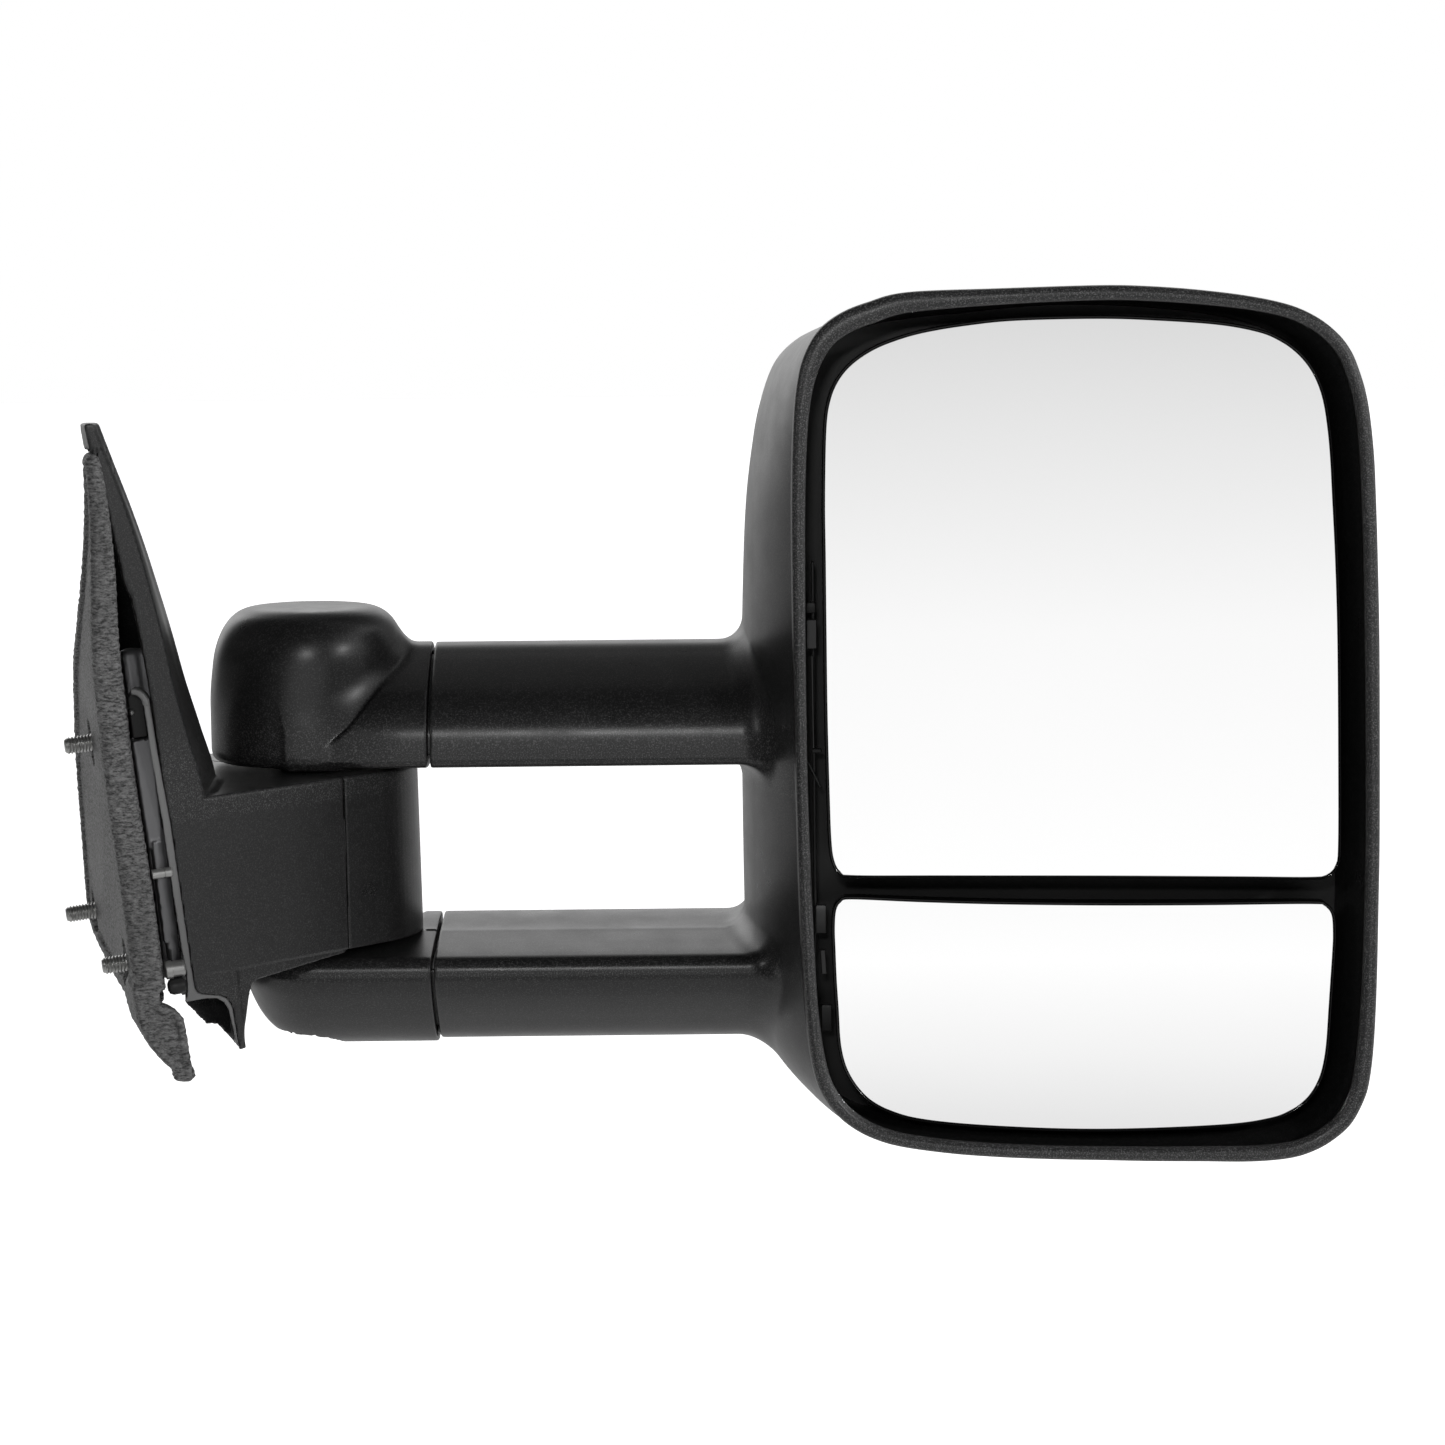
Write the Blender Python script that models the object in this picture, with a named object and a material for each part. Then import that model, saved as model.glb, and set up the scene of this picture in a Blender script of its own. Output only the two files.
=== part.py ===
"""Telescoping, manually folding towing mirror for the right-hand door of a pick-up truck.

Axes: +X outboard from the door along the two arms, +Y towards the front of the vehicle, +Z up.
Dimensions are millimetres and degrees in a working datum in the plane of the mirror rim. The
finished part is in metres, with its origin on the flat door face of the gasket, amid the studs.
"""
import math

import bpy
import bmesh
from mathutils import Matrix, Vector

for old in list(bpy.data.objects):
    bpy.data.objects.remove(old, do_unlink=True)

# ------------------------------------------------------------------ driving dimensions
DOOR_TOE = 15.0          # door skin turned from the fore-and-aft line of the mirror head
DOOR_LEAN = 6.0          # tumblehome of the door skin
DOOR_POINT = Vector((-232.7, -55.0, 2.6))   # zero of the door coordinates
ORIGIN_ON_DOOR = (60.0, -50.0)              # part origin: forward and up from DOOR_POINT
GASKET_T = 12.0

PIVOT = (-169.0, 68.0)   # x, y of the vertical fold axis
PIVOT_AXIS = ((*PIVOT, 0), (0, 0, 1))
POST_R = 10.0
BUSH_R = 13.0
FIT = 0.3                # clearance round pins, post and bushes
BLOCK_R = 45.0
BLOCK_Z = (-91.6, -22.8)
REAR_SLOPE = 1.1         # dy/dx of the upright rear face of the base
REAR_POINT = (-197.8, -31.0)
SEAM = Vector((-149.0, 22.5, 0))   # where the end cover meets the base cover
CAP_R = 37.5
CAP_Z = (-20.3, 41.5)
LOWER_ARM_TOP = -92.0
ARM_END_X = -117.0       # outboard end of the pivot arms
SLEEVE_X = -115.8        # inboard end of the sliding sleeves
WALL = 3.0
TUBE_W, TUBE_H, TUBE_T = 42.0, 20.0, 2.0
TUBE_CORNER_R = 5.0
TUBE_Y = 69.5
TUBE_X = (-146.0, 75.0)
PIN_X = -128.0
PIN_R = 3.0
CLAMP_X = (-134.0, -121.0)
FILLET_R = 9.0           # between sleeve and head
RIM_Y = 6.0              # the head has the RIM outline up to here
MID_Y = 75.0             # and the MID outline here
HEAD_CENTRE = (131, -5)  # x, z
HEAD_PART_Y = 118.5      # parting line between housing and front cover
GLASS_Y = 11.0
GLASS_T = 2.2
HOLDER_T = 3.0
UPPER_SWIVEL = (140.7, 45.0)    # x, z of the glass swivels
LOWER_SWIVEL = (141.0, -118.3)
BALL_Y = 32.0
BALL_R = 9.0
SWIVEL_GAP = 0.35
PLATE_Y = (43.0, 46.0)
STUD_R = 3.5
HEAD_COUNT = 44          # points round the head
GLASS_COUNT = 36         # points round each glass

# ------------------------------------------------------------------ frames
_toe, _lean = math.radians(DOOR_TOE), math.radians(DOOR_LEAN)
TO_DOOR = Vector((-math.cos(_toe) * math.cos(_lean), -math.sin(_toe) * math.cos(_lean),
                  -math.sin(_lean)))
DOOR_FORWARD = Vector((-math.sin(_toe), math.cos(_toe), 0.0))
DOOR_UP = DOOR_FORWARD.cross(TO_DOOR)
ORIGIN = DOOR_POINT + ORIGIN_ON_DOOR[0] * DOOR_FORWARD + ORIGIN_ON_DOOR[1] * DOOR_UP
REAR_ALONG = Vector((1.0, REAR_SLOPE, 0)).normalized()      # outboard along the rear face
REAR_OUT = Vector((REAR_ALONG.y, -REAR_ALONG.x, 0))         # out of the rear face


def door(forward, up, out):
    """Datum point of door coordinates; out is towards the door."""
    return DOOR_POINT + forward * DOOR_FORWARD + up * DOOR_UP + out * TO_DOOR


def plan(x, y, z):
    return Vector((x, y, z))


def part(point):
    """Finished-part position, in metres, of a datum point."""
    return (Vector(point) - ORIGIN) * 0.001


# ------------------------------------------------------------------ outlines
# x, z round the head at RIM_Y, and the matching points at MID_Y
RIM = [
    (146.7, 167.1), (108.3, 166.4), (72.6, 165.0), (52, 160), (38.7, 151.4), (31.5, 138),
    (28.4, 116.6), (27.4, 85.7), (27.4, 46.9), (27.8, 7.9), (28.3, -31.4), (29.2, -70.8),
    (30.5, -102.6), (32.4, -126), (36.8, -146.0), (45.5, -158.6), (60, -166.6), (87.9, -172),
    (127.3, -174.9), (166.7, -176.1), (204, -176.6), (226, -174.3), (241, -166), (250.3, -152),
    (254.1, -128.9), (255.5, -80), (255.6, -20), (254.8, 40), (253, 83.3), (250, 119),
    (244, 139), (233, 151.5), (215, 160), (185, 164.8)]
MID = [
    (140, 164.5), (100, 164), (62, 161), (40, 151.8), (24, 139.5), (16, 121),
    (11.8, 99), (9.3, 75), (8.2, 42), (7.8, 5), (7.8, -33), (8, -72),
    (8.6, -102), (10.5, -122), (17, -139), (29.5, -154.5), (46, -166), (75, -171),
    (118, -172.5), (160, -173), (198, -173), (218, -171), (233, -162.5), (242.5, -149),
    (247, -126), (249, -78), (249.5, -20), (248.7, 38), (246.5, 80), (243, 115),
    (236.5, 134), (225, 147.5), (207, 156.5), (178, 162)]
# x, z round each glass
UPPER_GLASS = [
    (147.3, 154.3), (114.9, 153.9), (79.7, 149.7), (59.2, 142.9), (49, 135.6), (43, 124.5),
    (41.2, 112.3), (40.3, 85.2), (40.5, 30.6), (40.8, -0.8), (41.5, -38), (42.2, -53),
    (44.2, -59.9), (50, -62.4), (80, -62.7), (147.4, -63.6), (212, -64.8), (232, -65),
    (238.8, -62.6), (240.9, -55.5), (241.0, -30), (240.1, 28.5), (239, 59.7), (237.7, 83.1),
    (235.5, 112), (231.2, 129.6), (221.5, 142), (209.4, 148.3), (193.6, 151.4), (170.8, 153.3)]
LOWER_GLASS = [
    (45.6, -72.8), (52, -71.5), (76.8, -72.8), (108.2, -73.9), (147.4, -74.7), (186.7, -75.1),
    (228, -75.2), (236.5, -76.7), (239.2, -82), (239.1, -94), (238.2, -110), (236.4, -137),
    (231.5, -150.7), (222.5, -158.4), (208, -162.3), (190, -163.8), (162.1, -164.5),
    (131.3, -164.2), (96.5, -162.2), (73.6, -159.4), (60, -154.4), (50.2, -144.2), (45.4, -130),
    (44.1, -112), (43.3, -90), (43.3, -78)]
# y, z sections shared by the pivot arms and the sleeves
ARM_UPPER = [
    (28, -14), (28, -1), (31, 4), (48, 15.5), (60, 22), (70, 25.5), (82, 25), (98, 17), (106, 6),
    (108, -6), (107, -15), (103, -19.5), (92, -20), (60, -20), (36, -20), (31, -18.5)]
ARM_LOWER = [
    (28, -102), (29, -98.5), (32.5, -97), (50, -94.3), (67, -92), (86, -92), (101, -92.5),
    (106, -95), (108, -101), (107, -112), (101, -124), (90, -133), (78, -136.8), (68, -136.5),
    (56, -132.5), (44, -123.5), (34, -114), (29, -107)]
ARMS = {"upper": (ARM_UPPER, -3.0), "lower": (ARM_LOWER, -110.0)}   # section, tube centre z
# forward, up on the door
GASKET = [
    (-17, 106), (-9, 104), (-1, 84), (14, 62), (40, 42), (75, 18), (112, -18), (135, -55),
    (151, -82), (149, -93), (142, -98), (79, -102.4), (12, -106), (2, -104), (1, -60), (4, -20),
    (-2, 10), (-9, 40), (-16, 80)]
BRACKET = [
    (16, -92), (30, -99.5), (60, -98), (136, -94.5), (142, -86), (139, -78), (124, -56),
    (100, -22), (66, 8), (34, 30), (12, 50), (6, 44), (10, 10), (14, -30)]
# forward, up, and how far the end stands past the door face
STUDS = {"top": (52.6, -7.5, 9.0), "front": (132.9, -87.1, 10.5), "rear": (32.6, -91.4, 8.0)}

# x, y of the bracket's neck and of the pocket under it
NECK = [
    (-150, 44), (-142, 62), (-150, 90), (-176, 99), (-226, 80), (-220, 12), (-203, -16),
    (-190, 0), (-168, 36)]
NECK_POCKET = [(-186, 22), (-178, 40), (-196, 76), (-216, 70), (-212, 22), (-200, 8)]
# x, z on the rear face: the skirt with its pointed lower corner
SKIRT = [
    (-151, -88.5), (-151, -92.0), (-165, -94.2), (-175, -96.2), (-182.8, -97.1), (-184.5, -99.7),
    (-187.6, -122.8), (-189.4, -111), (-191.5, -104.4), (-195.3, -100.9), (-202.2, -97.6),
    (-204.9, -88.5)]
# x, y, bottom z of the lip running forward from that corner
LIP = [
    (-188.2, -18.0, -121), (-193.5, 2, -118), (-201, 30, -113), (-209, 50, -110),
    (-213, 68, -107), (-221, 88, -100)]


# ------------------------------------------------------------------ materials
def material(name, colour, roughness, metallic=0.0):
    result = bpy.data.materials.new(name)
    result.use_nodes = True
    inputs = result.node_tree.nodes["Principled BSDF"].inputs
    inputs["Base Color"].default_value = (*colour, 1.0)
    inputs["Roughness"].default_value = roughness
    inputs["Metallic"].default_value = metallic
    return result


MATERIALS = {made.name: made for made in (
    material("textured_plastic", colour=(0.022, 0.022, 0.023), roughness=0.55),
    material("smooth_plastic", colour=(0.012, 0.012, 0.012), roughness=0.25),
    material("foam", colour=(0.045, 0.045, 0.046), roughness=0.8),
    material("cast_metal", colour=(0.32, 0.32, 0.33), roughness=0.45, metallic=1.0),
    material("steel", colour=(0.6, 0.6, 0.6), roughness=0.3, metallic=1.0),
    material("aluminium", colour=(0.5, 0.5, 0.52), roughness=0.35, metallic=1.0),
    material("nylon", colour=(0.08, 0.08, 0.08), roughness=0.5),
    material("mirror_glass", colour=(0.92, 0.93, 0.94), roughness=0.02, metallic=1.0),
)}


# ------------------------------------------------------------------ solids
# A solid that is only joined to or cut from another keeps the default name and material;
# the result has those of the first solid.
def from_bmesh(bm, name="tool", mat="steel"):
    bmesh.ops.recalc_face_normals(bm, faces=bm.faces)
    mesh = bpy.data.meshes.new(name)
    bm.to_mesh(mesh)
    bm.free()
    result = bpy.data.objects.new(name, mesh)
    bpy.context.scene.collection.objects.link(result)
    mesh.materials.append(MATERIALS[mat])
    return result


def loft(rings, name="tool", mat="steel", closed=False):
    """Skin through equal-count rings of points.

    closed joins the last ring to the first; otherwise both ends are capped.
    """
    bm = bmesh.new()
    rows = [[bm.verts.new(part(point)) for point in ring] for ring in rings]
    count = len(rings[0])
    pairs = list(zip(rows, rows[1:])) + ([(rows[-1], rows[0])] if closed else [])
    for near, far in pairs:
        for i in range(count):
            j = (i + 1) % count
            bm.faces.new((near[i], near[j], far[j], far[i]))
    if not closed:
        bm.faces.new(list(reversed(rows[0])))
        bm.faces.new(rows[-1])
    return from_bmesh(bm, name, mat)


def prism(poly, place, start, end, name="tool", mat="steel"):
    """Polygon of (p, q) pairs swept from start to end; place(p, q, h) gives the datum point."""
    return loft([[place(p, q, h) for p, q in poly] for h in (start, end)], name, mat)


def along_x(poly, start, end, name="tool", mat="steel"):
    return prism(poly, lambda y, z, x: plan(x, y, z), start, end, name, mat)


def circle(radius, count):
    angles = [2 * math.pi * i / count for i in range(count)]
    return [(radius * math.cos(a), radius * math.sin(a)) for a in angles]


def rectangle(p0, p1, q0, q1):
    return [(p0, q0), (p1, q0), (p1, q1), (p0, q1)]


def axis_place(origin, direction):
    """A place() whose h runs along direction from origin."""
    along = Vector(direction).normalized()
    side = along.orthogonal().normalized()
    if abs(along.z) > 0.99:
        side = Vector((1, 0, 0))
    other = along.cross(side)
    base = Vector(origin)
    return lambda p, q, h: base + p * side + q * other + h * along


def cylinder(origin, direction, radius, start, end, count=20, name="tool", mat="steel"):
    return prism(circle(radius, count), axis_place(origin, direction), start, end, name, mat)


def turned(origin, direction, profile, count, name="tool", mat="steel", ring=False):
    """Profile of (h, radius) pairs revolved about the axis; ring closes it round a bore."""
    place = axis_place(origin, direction)
    rings = [[place(x, y, h) for x, y in circle(radius, count)] for h, radius in profile]
    return loft(rings, name, mat, closed=ring)


def sphere(centre, radius, name="tool", mat="steel"):
    bm = bmesh.new()
    bmesh.ops.create_uvsphere(bm, u_segments=14, v_segments=9, radius=radius * 0.001,
                              matrix=Matrix.Translation(part(centre)))
    return from_bmesh(bm, name, mat)


def boolean(body, tool, operation):
    """Apply the operation to body and remove the tool."""
    modifier = body.modifiers.new("Boolean", "BOOLEAN")
    modifier.object = tool
    modifier.operation = operation
    modifier.solver = "EXACT"
    bpy.context.view_layer.update()
    depsgraph = bpy.context.evaluated_depsgraph_get()
    mesh = bpy.data.meshes.new_from_object(body.evaluated_get(depsgraph))
    body.modifiers.clear()
    body.data = mesh
    bpy.data.objects.remove(tool, do_unlink=True)


def cut(body, tool):
    boolean(body, tool, "DIFFERENCE")


def add(body, tool):
    boolean(body, tool, "UNION")


def cut_pivot_bore(body, radius, z0, z1):
    cut(body, cylinder(*PIVOT_AXIS, radius, z0, z1))


def cut_at_studs(body, radius, start, end, count):
    for forward, up, _ in STUDS.values():
        cut(body, cylinder(door(forward, up, 0), TO_DOOR, radius, start, end, count))


# ------------------------------------------------------------------ plane curves
def spline(points, count):
    """count points equally spaced along a closed Catmull-Rom curve through the points."""
    dense = []
    for i in range(len(points)):
        p0, p1, p2, p3 = (Vector(points[(i + s) % len(points)]) for s in (-1, 0, 1, 2))
        for j in range(12):
            t = j / 12
            dense.append(0.5 * ((2 * p1) + (p2 - p0) * t
                                + (2 * p0 - 5 * p1 + 4 * p2 - p3) * t * t
                                + (3 * p1 - p0 - 3 * p2 + p3) * t ** 3))
    lengths = [0.0]
    for i in range(len(dense)):
        lengths.append(lengths[-1] + (dense[(i + 1) % len(dense)] - dense[i]).length)
    result = []
    i = 0
    for step in range(count):
        target = lengths[-1] * step / count
        while lengths[i + 1] < target:
            i += 1
        fraction = (target - lengths[i]) / (lengths[i + 1] - lengths[i])
        point = dense[i].lerp(dense[(i + 1) % len(dense)], fraction)
        result.append((point.x, point.y))
    return result


def area(poly):
    """Signed area, positive when anticlockwise."""
    return 0.5 * sum(x0 * y1 - x1 * y0 for (x0, y0), (x1, y1) in zip(poly, poly[1:] + poly[:1]))


def offset(poly, distance):
    """Polygon moved outwards (inwards if negative) by one distance, or by one per edge."""
    count = len(poly)
    distances = distance if isinstance(distance, list) else [distance] * count
    sign = 1.0 if area(poly) > 0 else -1.0
    lines = []
    for i in range(count):
        (x0, y0), (x1, y1) = poly[i], poly[(i + 1) % count]
        dx, dy = x1 - x0, y1 - y0
        length = math.hypot(dx, dy)
        nx, ny = sign * dy / length, -sign * dx / length
        lines.append((x0 + nx * distances[i], y0 + ny * distances[i], dx / length, dy / length))
    result = []
    for i in range(count):
        ax, ay, adx, ady = lines[i - 1]
        bx, by, bdx, bdy = lines[i]
        cross = adx * bdy - ady * bdx
        if abs(cross) < 0.02:      # nearly straight on: the lines have no sound crossing
            result.append((bx, by))
            continue
        t = ((bx - ax) * bdy - (by - ay) * bdx) / cross
        result.append((ax + adx * t, ay + ady * t))
    return result


def scaled(poly, factor):
    """x, z outline scaled about the centre of the head."""
    cx, cz = HEAD_CENTRE
    return [(cx + (x - cx) * factor, cz + (z - cz) * factor) for x, z in poly]


def at_x(section, x):
    return [(x, y, z) for y, z in section]


def at_y(outline, y):
    return [(x, y, z) for x, z in outline]


def table(*stations):
    """Piecewise-linear function of z through (z, value) stations, for z within them."""
    stations = sorted(stations)

    def value(z):
        for (z0, v0), (z1, v1) in zip(stations, stations[1:]):
            if z <= z1:
                return v0 + (v1 - v0) * (z - z0) / (z1 - z0)
    return value


# ------------------------------------------------------------------ door gasket
def build_gasket():
    gasket = prism(GASKET, door, 0.0, -GASKET_T, "door_gasket", "foam")
    # thinner towards the upper tip, on the side away from the door; up, out pairs
    wedge = [(40, -GASKET_T - 8), (40, -GASKET_T), (70, -GASKET_T), (112, -4.5),
             (112, -GASKET_T - 8)]
    cut(gasket, prism(wedge, lambda up, out, forward: door(forward, up, out), -60, 60))
    # lower tongue, narrowing as it curls outboard
    path = [(-101, 0.0), (-108, -2.5), (-114, -8.0), (-121, -15.0), (-130, -21.0)]  # up, out
    rings = []
    for i, (up, out) in enumerate(path):
        far_edge = 3 + 34 * (1.0 - 0.12 * i)
        rings.append([door(3, up, out - 0.2), door(far_edge, up, out - 0.2),
                      door(far_edge, up - 1.5, out - 7.5), door(3, up - 1.5, out - 7.5)])
    add(gasket, loft(rings))
    cut_at_studs(gasket, STUD_R + 1.2, -40, 20, 16)


# ------------------------------------------------------------------ base cover and end cover
# The sail is the tall, tapering part of the cover. By z: x of the rear face's inboard and
# outboard edges, y of the front edge, depth of the front edge, and its distance out from the
# door face (negative is outboard).
REAR_INBOARD_X = table(
    (121.5, -233.3), (103.6, -230.1), (88, -226.6), (64, -222.4), (40, -218.4), (21.6, -216.0),
    (0, -213.7), (-15.7, -212.2), (-42, -209.9), (-65, -208.1), (-88, -205.0), (-98, -202.2))
REAR_OUTBOARD_X = table(
    (121.5, -230.9), (107.4, -226.6), (91.9, -221.8), (74, -217.1), (54.9, -212.9),
    (39, -209.8), (20.3, -206.7), (0, -202.3), (-22.8, -197.8), (-98, -197.8))
FRONT_Y = table(
    (121.5, -60), (105, -55), (90, -48), (62, -30), (40, -8), (20, 14), (-20, 56), (-52, 77),
    (-80, 92), (-98, 90))
FRONT_DEPTH = table((121.5, 3.5), (90, 7), (40, 12), (-30, 16), (-98, 16))
FRONT_OUT = table((121.5, -8.5), (64, -15.5), (0, -20.0), (-60, -22.5), (-98, -24.0))
SAIL_LEVELS = (-80, -60, -40, -22.8, 0, 20, 40, 62, 85)


def rear_y(x):
    return REAR_POINT[1] + REAR_SLOPE * (x - REAR_POINT[0])


def door_x(y, z, out):
    """x of the point at (y, z) that stands out from the door face by out."""
    base = DOOR_POINT + out * TO_DOOR
    return base.x - (TO_DOOR.y * (y - base.y) + TO_DOOR.z * (z - base.z)) / TO_DOOR.x


def sail_ring(z, inset=0.0):
    """Section of the sail: across the rear face, then round the outer face to the front edge."""
    inboard_x, outboard_x = REAR_INBOARD_X(z), REAR_OUTBOARD_X(z)
    inboard_y, outboard_y = rear_y(inboard_x), rear_y(outboard_x)
    front_y = FRONT_Y(z)
    front_x = door_x(front_y, z, FRONT_OUT(z))
    outer_x = door_x(front_y, z, FRONT_OUT(z) - FRONT_DEPTH(z))
    length = front_y - outboard_y
    poly = [(inboard_x, inboard_y), (outboard_x, outboard_y),
            (outboard_x + 0.8, outboard_y + 0.26 * length),
            (outboard_x * 0.80 + outer_x * 0.20 + 2.5, outboard_y + 0.58 * length),
            (outer_x, front_y - 1.0), (front_x, front_y)]
    if inset:      # the side facing the door is pushed out instead, so that it opens
        poly = offset(poly, [-inset] * 5 + [inset + 6])
    return [(x, y, z) for x, y in poly]


def block(inset=0.0, name="tool", mat="steel"):
    """Block round the pivot; an inset one is a cavity, open towards the door."""
    cx, cy = PIVOT
    start, end = math.atan2(-0.6727, 0.7399), math.radians(100)   # start is square to the rear
    poly = [(-214.0, rear_y(-214.0) + 0.3)]
    for i in range(15):
        a = start + (end - start) * i / 14
        poly.append((cx + BLOCK_R * math.cos(a), cy + BLOCK_R * math.sin(a)))
    poly += [(-236.0, 91.0), (-238.0, 55.0), (-222.0, -10.0)]
    if inset:
        poly = offset(poly, [-inset] * (len(poly) - 3) + [10.0] * 3)
    return prism(poly, plan, BLOCK_Z[0] + inset, BLOCK_Z[1] - inset, name, mat)


def seam_box(start, end, z0, z1):
    """Box from start to end along the rear face, measured outboard from the seam."""
    def place(along, out, z):
        return SEAM + along * REAR_ALONG + out * REAR_OUT + Vector((0, 0, z))
    return prism(rectangle(start, end, -260, 90), place, z0, z1)


def build_base_cover():
    cover = loft([sail_ring(z) for z in (-91.2, *SAIL_LEVELS, 105, 121.0)],
                 "base_cover", "textured_plastic")
    inboard_block = block()
    cut(inboard_block, seam_box(-0.2, 200, -140, 60))
    add(cover, inboard_block)
    cut(cover, seam_box(-0.2, 200, -140, -22.4))
    cavity = loft([sail_ring(z, WALL * (1.0 if z < 60 else 0.55))
                   for z in (-88.6, *SAIL_LEVELS, 103)])
    add(cavity, block(WALL))
    cut(cover, cavity)
    add(cover, prism(SKIRT, lambda x, z, depth: plan(x, rear_y(x), z) - depth * REAR_OUT,
                     0.5, WALL + 0.8))
    add(cover, loft([[(x, y, bottom), (x, y, -90.0), (x - 2.6, y - 0.4, -90.0),
                      (x - 2.6, y - 0.4, bottom)] for x, y, bottom in LIP]))
    # trim the lower part back from the door face
    cut(cover, prism(rectangle(-200, 300, -160, -20), door, -19.5, 60.0))
    cut_at_studs(cover, 9.2, -36.0, -8.0, 20)
    cut_pivot_bore(cover, BUSH_R + 2.0, -140, 0)


def build_end_cover():
    """Outboard end of the block, beyond the seam."""
    cover = block(name="pivot_end_cover", mat="textured_plastic")
    cut(cover, seam_box(-200, 0.2, -140, 60))
    cut(cover, block(WALL))
    cut_pivot_bore(cover, BUSH_R + 2.0, -140, 0)


# ------------------------------------------------------------------ bracket and studs
def build_bracket():
    bracket = prism(BRACKET, door, -25.0, -29.0, "base_bracket", "cast_metal")
    rim = prism(offset(BRACKET, -0.3), door, -21.5, -26.0)
    cut(rim, prism(offset(BRACKET, -3.0), door, -18.0, -30.0))
    add(bracket, rim)
    neck = prism(NECK, plan, -78.0, -36.0)
    cut(neck, prism(NECK_POCKET, plan, -90.0, -42.0))
    add(bracket, neck)
    # keep only what fits inside the covers, clear of the door side
    room = loft([sail_ring(z, WALL + 0.8) for z in (-88.0, *SAIL_LEVELS[:-1])])
    add(room, block(WALL + 0.6))
    boolean(bracket, room, "INTERSECT")
    cut(bracket, prism(rectangle(-120, 260, -160, 160), door, -22.0, 60.0))
    for forward, up, _ in STUDS.values():
        add(bracket, cylinder(door(forward, up, 0), TO_DOOR, 8.2, -29.3, -16.0))
    peg = cylinder(door(44, -58, 0), TO_DOOR, 3.2, -27.0, -12.6, 16)
    add(bracket, peg)
    knuckle = cylinder(*PIVOT_AXIS, 30.0, -88.2, -26.2, 24)
    add(bracket, knuckle)
    cut_pivot_bore(bracket, POST_R + FIT, -100, -10)
    cut_at_studs(bracket, STUD_R + FIT, -31.5, -10.0, 16)


def build_studs():
    for place, (forward, up, end) in STUDS.items():
        profile = [(-31.0, 0.6), (-31.0, 3.0), (-30.0, STUD_R), (end - 1.2, STUD_R), (end, 2.4)]
        turned(door(forward, up, 0), TO_DOOR, profile, 16, "mounting_stud_" + place, "steel")


# ------------------------------------------------------------------ pivot arms
def shoulder(z, radius, rise, run, steps):
    """Quarter-ellipse of (z, radius) pairs, rising and turning inwards."""
    angles = [math.radians(90 * i / steps) for i in range(1, steps + 1)]
    return [(z + rise * math.sin(a), radius - run + run * math.cos(a)) for a in angles]


def narrowed(y, factor):
    """y scaled about the fold axis."""
    return PIVOT[1] + (y - PIVOT[1]) * factor


def build_upper_arm():
    """Domed cap over the pivot with a stub running outboard; hollow."""
    bottom, top = CAP_Z
    floor = bottom + 6.0
    profile = [(bottom, CAP_R - 4.0), (bottom + 1.2, CAP_R - 1.4), (bottom + 4, CAP_R)]
    profile += shoulder(top - 18.0, CAP_R, 18.0, 17.5, 5)
    arm = turned(*PIVOT_AXIS, profile, 28, "upper_pivot_arm", "textured_plastic")
    stations = ((-168.0, 0.80), (-156.0, 0.86), (-143.0, 0.94), (-130.0, 0.99), (-122.0, 1.0),
                (ARM_END_X, 1.0))      # x, width factor
    add(arm, loft([[(x, narrowed(y, k), z) for y, z in ARM_UPPER] for x, k in stations]))

    inner_profile = [(floor, CAP_R - WALL), (top - 20.0, CAP_R - WALL)]
    inner_profile += shoulder(top - 20.0, CAP_R - WALL, 17.0, 16.0, 4)
    cavity = turned(*PIVOT_AXIS, inner_profile, 20)
    stations = ((-166.0, 0.78), (-150.0, 0.88), (-138.5, 0.96), (-135.5, 1.0),
                (ARM_END_X + 5, 1.0))
    add(cavity, loft([[(x, narrowed(y, k), max(z, floor) if x < -137 else z)
                       for y, z in offset(ARM_UPPER, -WALL)] for x, k in stations]))
    cut(arm, cavity)
    cut_pivot_bore(arm, BUSH_R + FIT, -40, 0)


def build_lower_arm():
    """Hollow arm whose section shrinks towards its rounded inboard end."""
    round_x, round_length = -165, 31.0

    def ring(x, section, top, shrink=0.0):
        k = 1.0
        if x < round_x:
            k = math.sqrt(1 - ((x - round_x) / round_length) ** 2) - shrink
        return [(x, narrowed(y, k), top + (z - top) * k) for y, z in section]

    arm = loft([ring(x, ARM_LOWER, LOWER_ARM_TOP) for x in
                (-195.2, -192.5, -188, -182, -174, -165, -150, -130, ARM_END_X)],
               "lower_pivot_arm", "textured_plastic")
    inner = offset(ARM_LOWER, -WALL)
    cut(arm, loft([ring(x, inner, LOWER_ARM_TOP - WALL, 0.07) for x in
                   (-189, -185, -178, -165, -150, -130, ARM_END_X + 5)]))
    boss = cylinder(*PIVOT_AXIS, 18.0, -99.5, -92.4)
    add(arm, boss)
    cut_pivot_bore(arm, BUSH_R + FIT, -104, -80)


# ------------------------------------------------------------------ tubes and their fittings
def tube_section(centre_z, grow=0.0):
    """Rounded rectangle of (y, z) pairs, four points to a corner."""
    w, h, r = TUBE_W + 2 * grow, TUBE_H + 2 * grow, TUBE_CORNER_R + grow
    points = []
    for y, z, start in ((w / 2 - r, h / 2 - r, 0), (-w / 2 + r, h / 2 - r, 90),
                        (-w / 2 + r, -h / 2 + r, 180), (w / 2 - r, -h / 2 + r, 270)):
        for i in range(4):
            a = math.radians(start + 90 * i / 3)
            points.append((TUBE_Y + (y + r * math.cos(a)), centre_z + (z + r * math.sin(a))))
    return points


def cut_pin_hole(body, centre_z):
    cut(body, cylinder((PIN_X, TUBE_Y, centre_z), (0, 0, 1), PIN_R + FIT, -40, 40, 16))


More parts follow.
